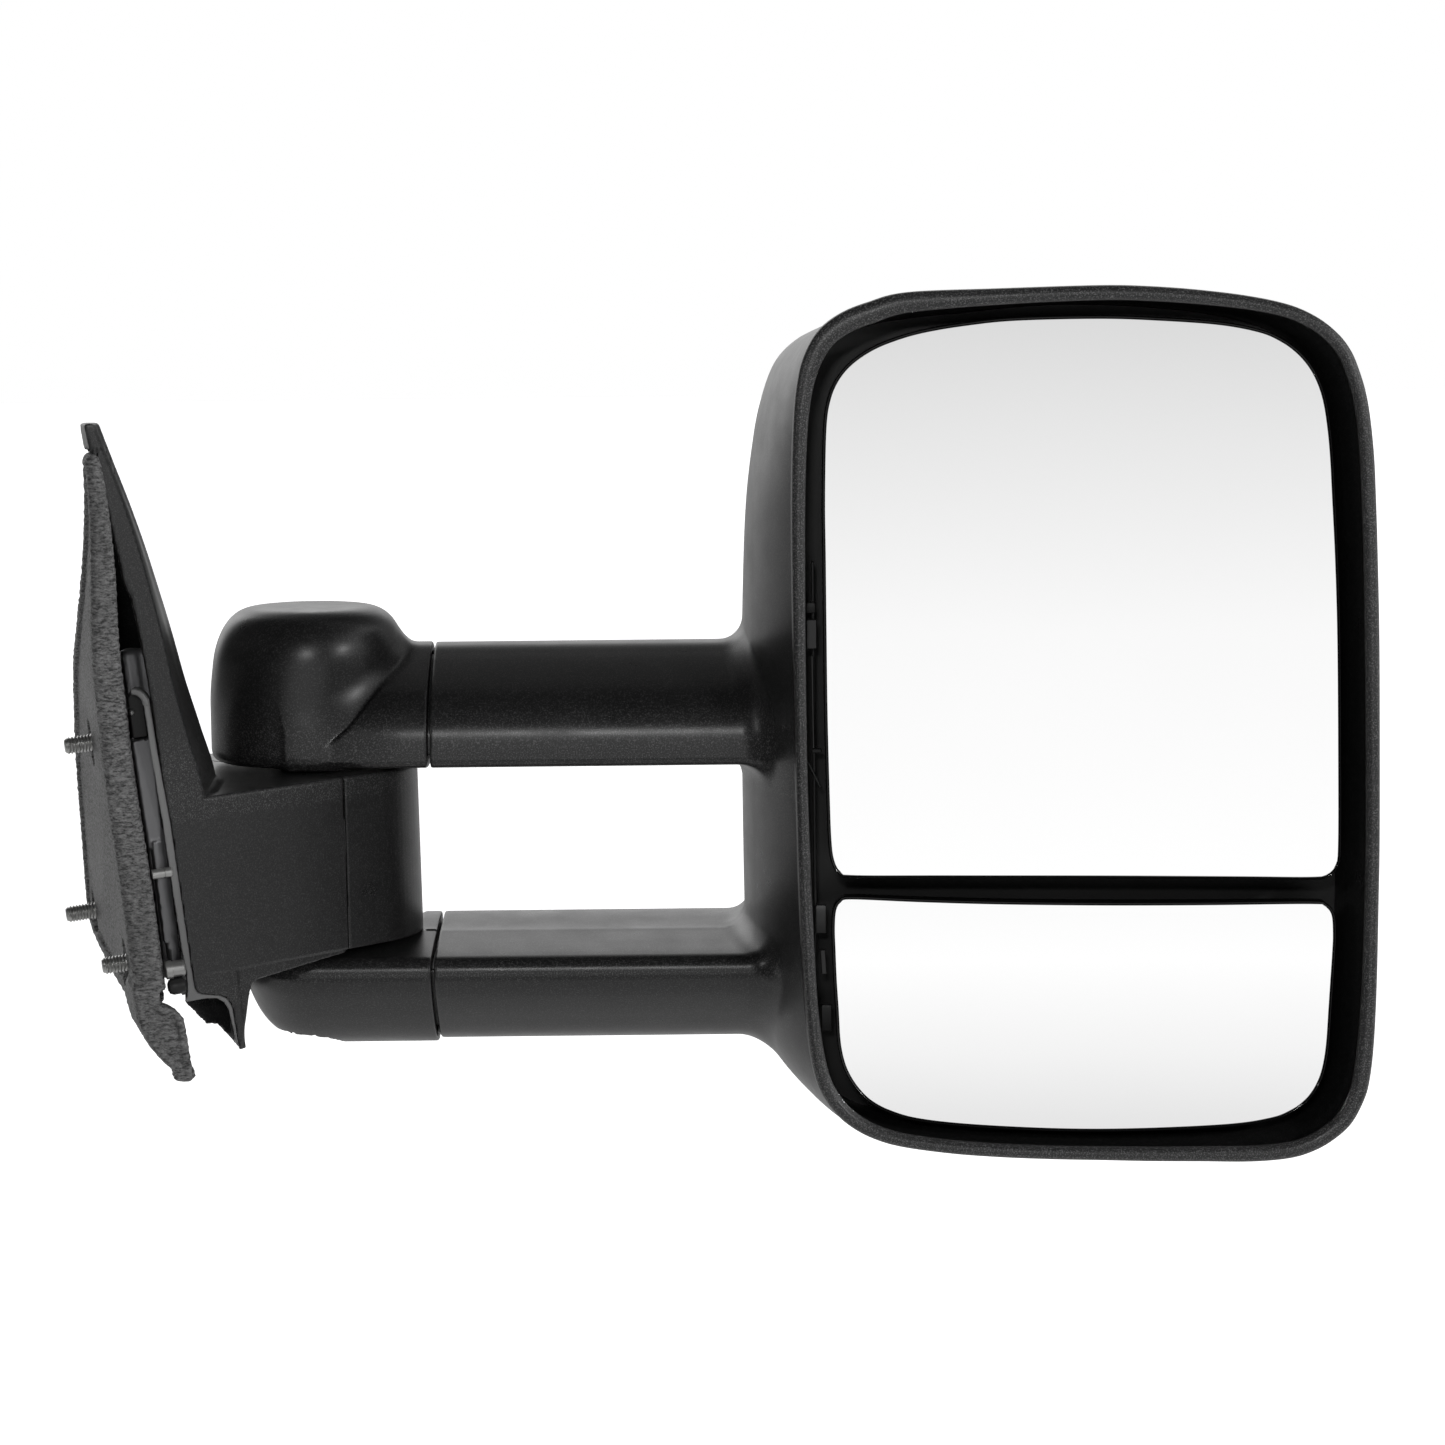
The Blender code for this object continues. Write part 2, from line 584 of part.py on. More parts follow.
def build_tube(name, centre_z):
    x0, x1 = TUBE_X
    tube = along_x(tube_section(centre_z), x0, x1, name, "aluminium")
    cut(tube, along_x(tube_section(centre_z, -TUBE_T), x0 - 5, x1 + 5))
    cut_pin_hole(tube, centre_z)


def build_collar(name, section, centre_z, x0, x1, gap, mat):
    """Fills an arm's or sleeve's inside round the tube."""
    collar = along_x(offset(section, -WALL - 0.35), x0, x1, name, mat)
    cut(collar, along_x(tube_section(centre_z, gap), x0 - 5, x1 + 5))
    return collar


def build_tube_stop(name, centre_z):
    """Plug in the tube's outboard end, with a flange too wide for the inner bush."""
    end = TUBE_X[1]
    stop = along_x(tube_section(centre_z, -TUBE_T - FIT), end - 10, end + 1.5, name, "nylon")
    add(stop, along_x(tube_section(centre_z, 1.6), end + 0.4, end + 4.4))


def build_tube_set(level, section, centre_z):
    build_tube(level + "_tube", centre_z)
    clamp = build_collar(level + "_tube_clamp", section, centre_z, *CLAMP_X, 0.3, "cast_metal")
    cut_pin_hole(clamp, centre_z)
    cylinder((PIN_X, TUBE_Y, centre_z), (0, 0, 1), PIN_R, -13.0, 14.0, 14,
             level + "_tube_pin", "steel")
    build_tube_stop(level + "_tube_stop", centre_z)
    for name, x0, x1 in (("_sleeve_bush", SLEEVE_X + 0.6, SLEEVE_X + 13.0),
                         ("_inner_bush", -45.0, -32.0)):
        build_collar(level + name, section, centre_z, x0, x1, 0.4, "nylon")


# ------------------------------------------------------------------ fold pivot
def pivot_ring(name, inner, outer, z0, z1, mat):
    profile = [(z0, inner), (z0, outer), (z1, outer), (z1, inner)]
    return turned(*PIVOT_AXIS, profile, 20, name, mat, ring=True)


def build_post():
    """Hollow post with a flange at its foot."""
    profile = [(-106.0, 7.0), (-106.0, 15.5), (-101.5, 15.5), (-101.0, POST_R), (27.0, POST_R),
               (28.0, 9.2), (28.0, 7.0)]
    turned(*PIVOT_AXIS, profile, 20, "pivot_post", "steel", ring=True)


def build_detent_plate():
    """Washer with three raised lobes."""
    top = -11.6
    plate = pivot_ring("detent_plate", POST_R + 0.5, 19.0, -14.0, top, "steel")
    for k in range(3):
        a = math.radians(90 + 120 * k)
        centre = (PIVOT[0] + 15.0 * math.cos(a), PIVOT[1] + 15.0 * math.sin(a), top)
        add(plate, turned(centre, (0, 0, 1), [(-0.8, 2.6), (0.5, 2.6), (1.1, 1.4)], 8))


def build_spring():
    turns, wire_r, coil_r = 4.0, 1.5, 14.8
    z0, z1 = -4.2, 14.2
    steps = int(turns * 11)
    rings = []
    for i in range(steps + 1):
        a = 2 * math.pi * turns * i / steps
        z = z0 + (z1 - z0) * (i / steps)
        centre = Vector((PIVOT[0] + coil_r * math.cos(a), PIVOT[1] + coil_r * math.sin(a), z))
        radial = Vector((math.cos(a), math.sin(a), 0))
        rings.append([centre + wire_r * (math.cos(t) * radial + math.sin(t) * Vector((0, 0, 1)))
                      for t in [2 * math.pi * j / 5 for j in range(5)]])
    loft(rings, "fold_spring", "steel")


def build_nut():
    nut = cylinder(*PIVOT_AXIS, 17.0, 18.4, 25.0, 6, "pivot_nut", "steel")
    cut_pivot_bore(nut, POST_R + FIT, 0, 60)


def build_pivot_rings():
    bore = POST_R + FIT
    pivot_ring("upper_pivot_bush", bore, BUSH_R, -22.0, -14.6, "nylon")
    pivot_ring("lower_pivot_bush", bore, BUSH_R, -99.8, -91.2, "nylon")
    pivot_ring("detent_cam", bore, 19.0, -8.6, -6.0, "steel")
    pivot_ring("spring_washer", bore, 18.0, 16.0, 18.0, "steel")


# ------------------------------------------------------------------ mirror head
def head_outline(y):
    """Outer outline of the mirror head at depth y, in (x, z)."""
    if y <= RIM_Y:
        outline = RIM
    elif y <= MID_Y:
        f = (y - RIM_Y) / (MID_Y - RIM_Y)
        outline = [(x0 + (x1 - x0) * f, z0 + (z1 - z0) * f)
                   for (x0, z0), (x1, z1) in zip(RIM, MID)]
    else:
        outline = scaled(MID, 1.0 - 0.00085 * (y - MID_Y))
    return spline(outline, HEAD_COUNT)


def inboard_wall_x(y):
    """x of the head's inboard wall at depth y."""
    return 27.6 - 0.284 * (y - RIM_Y) if y < MID_Y else 8.0 + 0.105 * (y - MID_Y)


def sleeve_rings(section):
    """Chamfered inboard end, then a fillet flaring into the head's wall."""
    rings = [at_x(offset(section, -0.8), SLEEVE_X), at_x(section, SLEEVE_X + 0.8)]
    for degrees in (0, 30, 60, 90):
        a = math.radians(degrees)
        flared = offset(section, FILLET_R * (1 - math.cos(a)) + 0.001)
        rings.append([(inboard_wall_x(y) - FILLET_R * (1 - math.sin(a)), y, z)
                      for y, z in flared])
    rings.append([(x + 1.7, y, z) for x, y, z in rings[-1]])
    return rings


def build_housing():
    # outside to the rear, round the rim, then inside to the front
    rows = [at_y(head_outline(y), y) for y in (HEAD_PART_Y, 96, MID_Y, 40, RIM_Y)]
    rim = head_outline(RIM_Y)
    for y, grow in ((2.6, -0.9), (0.4, -2.6), (0.2, -3.6), (1.6, -5.2), (4.0, -5.7), (8.0, -5.2)):
        rows.append(at_y(offset(rim, grow), y))
    for y in (11, 40, MID_Y, 96, HEAD_PART_Y):
        rows.append(at_y(offset(head_outline(y), -WALL), y))
    housing = loft(rows, "housing_shell", "textured_plastic", closed=True)
    for section in (ARM_UPPER, ARM_LOWER):
        add(housing, loft(sleeve_rings(section)))
    for section in (ARM_UPPER, ARM_LOWER):
        cut(housing, along_x(offset(section, -WALL), SLEEVE_X - 5, 45))


def build_front_cover():
    base = head_outline(HEAD_PART_Y)
    # forward of the parting line, outline scale, wall inset, wall depth
    stations = [(0.5, 1.0, WALL, 1.0), (7, 0.97, WALL, WALL * 0.3), (14, 0.89, WALL, WALL * 0.8),
                (20, 0.70, WALL * 0.6, WALL * 0.8), (23.0, 0.36, WALL * 0.6, WALL * 0.8)]
    cover = loft([at_y(scaled(base, k), HEAD_PART_Y + rise) for rise, k, _, _ in stations],
                 "front_cover", "textured_plastic")
    cut(cover, loft([at_y(offset(scaled(base, k), -inset), HEAD_PART_Y + rise - depth)
                     for rise, k, inset, depth in stations]))


def build_carrier_plate():
    """Flat plate across the head in front of both glasses, with four round openings."""
    outline = offset(head_outline(PLATE_Y[0]), -WALL - 0.9)
    plate = loft([at_y(outline, y) for y in PLATE_Y], "carrier_plate", "smooth_plastic")
    for z in (95, 5):
        for x in (84, 198):
            cut(plate, cylinder((x, 0, z), (0, 1, 0), 16.0, 30, 60, 16))


def build_glass(name, edge, centre, sag):
    """Glass plate; sag is how far its middle bulges to the rear."""
    cx, cz = centre

    def domed(y):
        return [[(cx + (x - cx) * k, y - sag * (1 - k * k), cz + (z - cz) * k) for x, z in edge]
                for k in (1.0, 0.6, 0.05)]

    if sag:
        rings = domed(GLASS_Y + GLASS_T)[::-1] + domed(GLASS_Y)
    else:
        rings = [at_y(edge, GLASS_Y), at_y(edge, GLASS_Y + GLASS_T)]
    loft(rings, name, "mirror_glass")


def build_holder(name, edge, centre):
    """Tray round the glass with two ears that take the swivel's pin."""
    cx, cz = centre
    gap = 0.35
    front = GLASS_Y + GLASS_T + HOLDER_T
    stations = ((0.75, GLASS_Y - 0.4), (1.2, GLASS_Y + 0.2), (1.3, GLASS_Y + 1.6), (1.3, front))
    holder = loft([at_y(offset(edge, grow), y) for grow, y in stations], name, "smooth_plastic")
    pocket = offset(edge, gap)
    cut(holder, loft([at_y(pocket, GLASS_Y - 6), at_y(pocket, GLASS_Y + GLASS_T + gap)]))
    ear = [(cz - 6, front - 1.0), (cz + 6, front - 1.0), (cz + 5, BALL_Y + 1.0),
           (cz + 3, BALL_Y + 3.6), (cz - 3, BALL_Y + 3.6), (cz - 5, BALL_Y + 1.0)]
    for x0, x1 in ((-15.4, -12.2), (12.2, 15.4)):
        add(holder, prism(ear, lambda z, y, x: plan(x, y, z), cx + x0, cx + x1))
    cut(holder, cylinder((cx, BALL_Y, cz), (1, 0, 0), 2.3, -30, 30, 16))


def build_swivel(level, centre):
    """Ball with a cross pin, and the socket in front of it."""
    cx, cz = centre
    ball_centre = (cx, BALL_Y, cz)
    ball = sphere(ball_centre, BALL_R, level + "_swivel_ball", "nylon")
    add(ball, cylinder(ball_centre, (1, 0, 0), 2.0, -16.2, 16.2, 14))
    profile = [(36.2, 11.4), (40.0, 12.4), (PLATE_Y[0] - SWIVEL_GAP, 15.5)]
    socket = turned((cx, 0, cz), (0, 1, 0), profile, 18, level + "_ball_socket",
                    "smooth_plastic")
    cut(socket, sphere(ball_centre, BALL_R + SWIVEL_GAP))


# ------------------------------------------------------------------ build everything
build_gasket()
build_base_cover()
build_end_cover()
build_bracket()
build_studs()
build_post()
build_upper_arm()
build_lower_arm()
for _level, (_section, _centre_z) in ARMS.items():
    build_tube_set(_level, _section, _centre_z)
build_pivot_rings()
build_detent_plate()
build_spring()
build_nut()
build_housing()
build_front_cover()
build_carrier_plate()
for _level, _outline, _centre, _sag in (("upper", UPPER_GLASS, UPPER_SWIVEL, 0.0),
                                        ("lower", LOWER_GLASS, LOWER_SWIVEL, 2.2)):
    _edge = spline(_outline, GLASS_COUNT)
    build_glass(_level + "_glass", _edge, _centre, _sag)
    build_holder(_level + "_glass_holder", _edge, _centre)
    build_swivel(_level, _centre)

# ------------------------------------------------------------------ moving bodies
UPPER_BALL = (UPPER_SWIVEL[0], BALL_Y, UPPER_SWIVEL[1])
LOWER_BALL = (LOWER_SWIVEL[0], BALL_Y, LOWER_SWIVEL[1])
# body, parent body, a datum point on its joint's axis, its pieces
BODIES = (
    ("base", None, ORIGIN,
     ("base_bracket", "base_cover", "pivot_end_cover", "door_gasket", "mounting_stud_top",
      "mounting_stud_front", "mounting_stud_rear", "pivot_post", "detent_cam", "fold_spring",
      "spring_washer", "pivot_nut")),
    ("arms", "base", (*PIVOT, 0.0),
     ("upper_pivot_arm", "lower_pivot_arm", "upper_tube", "lower_tube", "upper_tube_clamp",
      "lower_tube_clamp", "upper_tube_pin", "lower_tube_pin", "upper_tube_stop",
      "lower_tube_stop", "upper_pivot_bush", "lower_pivot_bush", "detent_plate")),
    ("head", "arms", (SLEEVE_X, TUBE_Y, -56.0),
     ("housing_shell", "front_cover", "carrier_plate", "upper_sleeve_bush", "upper_inner_bush",
      "lower_sleeve_bush", "lower_inner_bush", "upper_ball_socket", "lower_ball_socket")),
    ("upper_swivel", "head", UPPER_BALL, ("upper_swivel_ball",)),
    ("upper_mirror", "upper_swivel", UPPER_BALL, ("upper_glass", "upper_glass_holder")),
    ("lower_swivel", "head", LOWER_BALL, ("lower_swivel_ball",)),
    ("lower_mirror", "lower_swivel", LOWER_BALL, ("lower_glass", "lower_glass_holder")),
)


def assemble():
    """Hang each body's pieces on an empty at its joint, with their origins there."""
    joints = {}
    for body, parent, point, pieces in BODIES:
        empty = bpy.data.objects.new("axis_" + body, None)
        bpy.context.scene.collection.objects.link(empty)
        here = part(point)
        empty.location = here
        if parent:
            empty.parent, parent_place = joints[parent]
            empty.location = here - parent_place
        joints[body] = (empty, here)
        for name in pieces:
            piece = bpy.data.objects[name]
            piece.data.transform(Matrix.Translation(-here))
            piece.parent = empty
            piece.data.shade_smooth()
            piece.data.set_sharp_from_angle(angle=math.radians(35))


assemble()
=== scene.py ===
"""Looks of a towing mirror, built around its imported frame.

The base sits against the door at -x, and two arms run from its fold axis along +x to the head.
+y is forwards and +z up: the glasses face -y and the head's front cover faces +y.
Shapes are worked out in millimetres in the frame's datum and moved into its metres when meshed.
Most are signed distance fields, negative inside, meshed on a grid and pulled onto the surface.
"""
import math
from functools import reduce

import bpy
import numpy as np
from mathutils import Matrix, Vector


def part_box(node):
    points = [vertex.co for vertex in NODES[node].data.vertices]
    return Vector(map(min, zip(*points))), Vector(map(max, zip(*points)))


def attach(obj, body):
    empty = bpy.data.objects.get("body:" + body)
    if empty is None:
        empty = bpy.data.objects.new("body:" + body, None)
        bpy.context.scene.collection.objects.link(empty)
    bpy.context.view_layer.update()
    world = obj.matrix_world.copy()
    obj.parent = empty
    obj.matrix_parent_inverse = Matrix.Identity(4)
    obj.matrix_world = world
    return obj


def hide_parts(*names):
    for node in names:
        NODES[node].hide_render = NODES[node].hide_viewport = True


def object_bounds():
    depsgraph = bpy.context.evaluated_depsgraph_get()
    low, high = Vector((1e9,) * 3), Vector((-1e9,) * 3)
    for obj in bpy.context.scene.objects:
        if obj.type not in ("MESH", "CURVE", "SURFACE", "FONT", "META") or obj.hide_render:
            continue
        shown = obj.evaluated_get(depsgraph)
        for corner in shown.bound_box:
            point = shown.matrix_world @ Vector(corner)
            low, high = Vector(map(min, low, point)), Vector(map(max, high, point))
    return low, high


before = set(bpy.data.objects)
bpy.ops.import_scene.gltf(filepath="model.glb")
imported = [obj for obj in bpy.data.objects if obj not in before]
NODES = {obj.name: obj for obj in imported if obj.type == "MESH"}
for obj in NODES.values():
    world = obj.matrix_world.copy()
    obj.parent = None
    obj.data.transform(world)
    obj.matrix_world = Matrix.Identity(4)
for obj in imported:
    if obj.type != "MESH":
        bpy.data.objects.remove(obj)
CAD_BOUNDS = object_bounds()

# ------------------------------------------------------------------ datum
PIVOT = (-169.0, 68.0)   # x, y of the fold axis
POST_FOOT_Z = -106.0
post_low, post_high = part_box("pivot_post")
ORIGIN = np.array([PIVOT[0] - 500 * (post_low.x + post_high.x),
                   PIVOT[1] - 500 * (post_low.y + post_high.y),
                   POST_FOOT_Z - 1000 * post_low.z])

# The door face: an origin on it and unit steps forwards along it, up it and into the door.
DOOR_YAW, DOOR_TILT = math.radians(15.0), math.radians(6.0)
TO_DOOR = np.array([-math.cos(DOOR_YAW) * math.cos(DOOR_TILT),
                    -math.sin(DOOR_YAW) * math.cos(DOOR_TILT), -math.sin(DOOR_TILT)])
FORE = np.array([-math.sin(DOOR_YAW), math.cos(DOOR_YAW), 0.0])
UP = np.cross(FORE, TO_DOOR)
DOOR_ORIGIN = np.array([-232.7, -55.0, 2.6])


def to_frame(points):
    """Datum millimetres to frame metres."""
    return (np.asarray(points, float) - ORIGIN) * 0.001


def door_point(fore, up, side):
    return DOOR_ORIGIN + fore * FORE + up * UP + side * TO_DOOR


def door_coords(x, y, z):
    """Distances forwards, up and towards the door from the door origin."""
    dx, dy, dz = x - DOOR_ORIGIN[0], y - DOOR_ORIGIN[1], z - DOOR_ORIGIN[2]
    return tuple(dx * way[0] + dy * way[1] + dz * way[2] for way in (FORE, UP, TO_DOOR))


def door_x(y, z, side):
    """x of the plane that lies the given distance towards the door."""
    near = DOOR_ORIGIN + side * TO_DOOR
    return near[0] - (TO_DOOR[1] * (y - near[1]) + TO_DOOR[2] * (z - near[2])) / TO_DOOR[0]


def pivot_radius(x, y):
    return np.hypot(x - PIVOT[0], y - PIVOT[1])


# ------------------------------------------------------------------ combining fields
def meet(*fields):
    """Where all the shapes overlap."""
    return reduce(np.maximum, fields)


def join(*fields):
    return reduce(np.minimum, fields)


def soft_meet(one, other, radius):
    """Overlap with its edges rounded."""
    return (np.minimum(np.maximum(one, other), -radius)
            + np.hypot(np.maximum(one + radius, 0), np.maximum(other + radius, 0)))


def soft_join(one, other, radius):
    """Union with its inner corners filleted."""
    return -soft_meet(-one, -other, radius)


def carve(body, cut, radius):
    return soft_meet(body, -cut, radius)


def slab(value, centre, half):
    return np.abs(value - centre) - half


def smooth_step(value, start, run):
    """0 to 1 as value goes from start over run, which may be negative."""
    t = np.clip((value - start) / run, 0, 1)
    return t * t * (3 - 2 * t)


# ------------------------------------------------------------------ outlines
def outline(text):
    """Points from a text of comma pairs."""
    return np.array([pair.split(",") for pair in text.split()], float)


def spline(points, count, closed=True):
    """Catmull-Rom curve through the points, resampled at even spacing."""
    points = np.asarray(points, float)
    total = len(points)
    t = np.linspace(0, 1, 24, endpoint=False)[:, None]
    runs = []
    for i in range(total if closed else total - 1):
        near = np.arange(i - 1, i + 3)
        near = near % total if closed else np.clip(near, 0, total - 1)
        before, start, end, after = points[near]
        runs.append(0.5 * (2 * start + (end - before) * t
                           + (2 * before - 5 * start + 4 * end - after) * t ** 2
                           + (3 * start - before - 3 * end + after) * t ** 3))
    runs.append(runs[0][:1] if closed else points[-1:])
    curve = np.concatenate(runs)
    length = np.concatenate([[0], np.cumsum(np.hypot(*np.diff(curve, axis=0).T))])
    if closed:
        at = np.linspace(0, length[-1], count + 1)[:-1]
    else:
        at = np.linspace(0, length[-1], count)
    return np.stack([np.interp(at, length, curve[:, 0]), np.interp(at, length, curve[:, 1])], 1)


def smooth_section(points, corners):
    """Closed section, curved between the listed corner indices and crisp at them."""
    total = len(points)
    runs = []
    for start, end in zip(corners, corners[1:] + [corners[0] + total]):
        run = [points[i % total] for i in range(start, end + 1)]
        if len(run) == 2:
            runs.append(np.array(run[:1], float))
        else:
            count = max(6, 260 * (end - start) // total)
            runs.append(spline(run, count, closed=False)[:-1])
    return np.concatenate(runs)


def smooth_table(text):
    """Smooth function of height from (z, value) stations."""
    points = outline(text)
    curve = spline(points[np.argsort(points[:, 0])], 200, closed=False)
    order = np.argsort(curve[:, 0])
    return lambda z: np.interp(z, curve[order, 0], curve[order, 1])


def inset(polygon, distance):
    """Polygon moved inwards."""
    points = np.asarray(polygon, float)
    following = np.roll(points, -1, 0)
    turn = np.sum(points[:, 0] * following[:, 1] - following[:, 0] * points[:, 1])
    sign = 1.0 if turn > 0 else -1.0
    edge = following - points
    edge /= np.maximum(np.hypot(edge[:, 0], edge[:, 1]), 1e-9)[:, None]
    normal = np.stack([-sign * edge[:, 1], sign * edge[:, 0]], 1)
    mitre = normal + np.roll(normal, 1, 0)
    mitre /= np.maximum((mitre * mitre).sum(1), 0.15)[:, None]
    return points + 2 * distance * mitre


def outward(points):
    """Unit outward direction at each point of an outline."""
    way = points - inset(points, 1.0)
    return way / np.hypot(way[:, 0], way[:, 1])[:, None]


# ------------------------------------------------------------------ fields sampled from outlines
# Here x and y stand for a plane's own two axes and z for the level across it.
def polygon_distance(polygon, x, y):
    starts = np.asarray(polygon, float)
    best = np.full(x.shape, 1e18)
    inside = np.zeros(x.shape, bool)
    for (ax, ay), (bx, by) in zip(starts, np.roll(starts, -1, 0)):
        ex, ey = bx - ax, by - ay
        dx, dy = x - ax, y - ay
        t = np.clip((dx * ex + dy * ey) / (ex * ex + ey * ey + 1e-12), 0, 1)
        best = np.minimum(best, (dx - ex * t) ** 2 + (dy - ey * t) ** 2)
        if ay != by:
            inside ^= (y >= min(ay, by)) & (y < max(ay, by)) & (x < ax + (y - ay) * ex / ey)
    return np.where(inside, -1, 1) * np.sqrt(best)


def plane_grid(points, margin, step):
    """Low corner and coordinates of a grid that covers the points."""
    low = points.min(0) - margin
    count = np.ceil((points.max(0) + margin - low) / step).astype(int) + 1
    x, y = np.meshgrid(low[0] + step * np.arange(count[0]),
                       low[1] + step * np.arange(count[1]), indexing="ij")
    return low, x, y


def bilinear(grid, i, j, fx, fy, layer=()):
    def at(di, dj):
        return grid[(*layer, i + di, j + dj)]
    return ((1 - fx) * ((1 - fy) * at(0, 0) + fy * at(0, 1))
            + fx * ((1 - fy) * at(1, 0) + fy * at(1, 1)))


def cubic_weights(t):
    return (0.5 * (-t + 2 * t * t - t ** 3), 0.5 * (2 - 5 * t * t + 3 * t ** 3),
            0.5 * (t + 4 * t * t - 3 * t ** 3), 0.5 * (t ** 3 - t * t))


class FlatField:
    """Distance to one polygon, optionally with rounded corners."""

    cubic = False   # switched on for all while vertices settle on the surface

    def __init__(self, polygon, step=1.0, rounding=0.0):
        polygon = inset(polygon, rounding)
        self.step, self.rounding = step, rounding
        self.low, x, y = plane_grid(polygon, 16.0 + rounding, step)
        self.grid = polygon_distance(polygon, x, y)

    def __call__(self, x, y):
        x, y = (x - self.low[0]) / self.step, (y - self.low[1]) / self.step
        rows, columns = self.grid.shape
        held_x, held_y = np.clip(x, 1, rows - 2.001), np.clip(y, 1, columns - 2.001)
        i, j = held_x.astype(int), held_y.astype(int)
        if FlatField.cubic:
            i, j = np.clip(i, 1, rows - 3), np.clip(j, 1, columns - 3)
            wx, wy = cubic_weights(held_x - i), cubic_weights(held_y - j)
            value = sum(wx[m] * sum(wy[n] * self.grid[i + m - 1, j + n - 1] for n in range(4))
                        for m in range(4))
        else:
            value = bilinear(self.grid, i, j, held_x - i, held_y - j)
        # outside the grid the distance keeps growing
        return value + np.hypot(x - held_x, y - held_y) - self.rounding


class StackField:
    """Distance to polygons at a series of levels, blended between them."""

    def __init__(self, levels, polygons, step):
        self.step, self.levels = step, np.asarray(levels, float)
        points = np.concatenate([np.asarray(p, float) for p in polygons])
        self.low, x, y = plane_grid(points, 14.0, step)
        self.grid = np.stack([polygon_distance(p, x, y) for p in polygons])

    def __call__(self, x, y, z):
        levels = self.levels
        k = np.clip(np.searchsorted(levels, z) - 1, 0, len(levels) - 2)
        blend = np.clip((z - levels[k]) / (levels[k + 1] - levels[k]), 0, 1)
        rows, columns = self.grid.shape[1:]
        x, y = (x - self.low[0]) / self.step, (y - self.low[1]) / self.step
        held_x, held_y = np.clip(x, 0, rows - 1.001), np.clip(y, 0, columns - 1.001)
        i, j = held_x.astype(int), held_y.astype(int)
        value = sum(weight * bilinear(self.grid, i, j, held_x - i, held_y - j, (layer,))
                    for layer, weight in ((k, 1 - blend), (k + 1, blend)))
        return value + self.step * np.hypot(x - held_x, y - held_y)


# ------------------------------------------------------------------ meshing
def axis(*stations):
    """Grid stations from alternating edges and spacings: edge, spacing, edge, ..., edge."""
    runs = []
    for start, step, end in zip(stations[0::2], stations[1::2], stations[2::2]):
        count = max(1, int(round((end - start) / step)))
        runs.append(np.linspace(start, end, count + 1)[:-1])
    return np.concatenate(runs + [[stations[-1]]])


def field_grid(field, axes):
    """Field on the grid, worked out only in the blocks near the surface."""
    block, chunk = 8, 1500000
    centres, halves = [], []
    for line in axes:
        cuts = np.arange(0, len(line), block)
        low = line[np.maximum(cuts - 1, 0)]
        high = line[np.minimum(cuts + block, len(line) - 1)]
        centres.append((low + high) / 2)
        halves.append((high - low) / 2)
    centre = field(*np.meshgrid(*centres, indexing="ij"))
    reach = np.sqrt(sum(half ** 2 for half in np.meshgrid(*halves, indexing="ij")))

    def spread(blocks):
        for k in range(3):
            blocks = np.repeat(blocks, block, k)
        return blocks[:len(axes[0]), :len(axes[1]), :len(axes[2])].copy()

    values = spread(np.where(centre < 0, -1e3, 1e3))
    i, j, k = np.nonzero(spread(np.abs(centre) < reach * 1.35 + 1.0))
    for start in range(0, len(i), chunk):
        part = slice(start, start + chunk)
        at = i[part], j[part], k[part]
        values[at] = field(*(line[n] for line, n in zip(axes, at)))
    return values


def surface_nets(values, axes):
    """One vertex per grid cell the surface crosses, one quad per crossed grid edge."""
    inside = values < 0
    nx, ny, nz = values.shape
    offsets = [(a, b, c) for a in (0, 1) for b in (0, 1) for c in (0, 1)]
    corners = sum(inside[a:nx - 1 + a, b:ny - 1 + b, c:nz - 1 + c].astype(np.int8)
                  for a, b, c in offsets)
    cells = np.nonzero((corners > 0) & (corners < 8))
    count = len(cells[0])
    ids = np.full(corners.shape, -1, np.int64)
    ids[cells] = np.arange(count)
    total = np.zeros((count, 3))
    crossings = np.zeros(count)
    for low in offsets:
        for d in range(3):
            if low[d]:
                continue
            high = list(low)
            high[d] = 1
            at_low = tuple(cell + n for cell, n in zip(cells, low))
            at_high = tuple(cell + n for cell, n in zip(cells, high))
            first, second = values[at_low], values[at_high]
            crossed = (first < 0) != (second < 0)
            t = np.where(crossed, first / np.where(crossed, first - second, 1), 0)
            start = np.stack([line[n] for line, n in zip(axes, at_low)], 1).astype(float)
            end = np.stack([line[n] for line, n in zip(axes, at_high)], 1)
            total += np.where(crossed[:, None], start + (end - start) * t[:, None], 0)
            crossings += crossed
    quads = []
    for d in range(3):
        d1, d2 = (d + 1) % 3, (d + 2) % 3
        low, high = [slice(None)] * 3, [slice(None)] * 3
        low[d], high[d] = slice(0, -1), slice(1, None)
        before, after = inside[tuple(low)], inside[tuple(high)]
        for flip, crossed in ((False, before & ~after), (True, ~before & after)):
            edges = np.stack(np.nonzero(crossed), 1)
            edges = edges[(edges[:, d1] > 0) & (edges[:, d2] > 0)
                          & (edges[:, d1] < corners.shape[d1])
                          & (edges[:, d2] < corners.shape[d2])]

            def cell_id(back1, back2):
                cell = edges.copy()
                cell[:, d1] -= back1
                cell[:, d2] -= back2
                return ids[cell[:, 0], cell[:, 1], cell[:, 2]]
            quad = np.stack([cell_id(1, 1), cell_id(0, 1), cell_id(0, 0), cell_id(1, 0)], 1)
            quads.append(quad[:, ::-1] if flip else quad)
    return total / crossings[:, None], np.concatenate(quads)


def gradient(field, points, reach=0.2):
    slopes = np.empty_like(points)
    for d in range(3):
        ahead, behind = points.copy(), points.copy()
        ahead[:, d] += reach
        behind[:, d] -= reach
        slopes[:, d] = (field(*ahead.T) - field(*behind.T)) / (2 * reach)
    return slopes


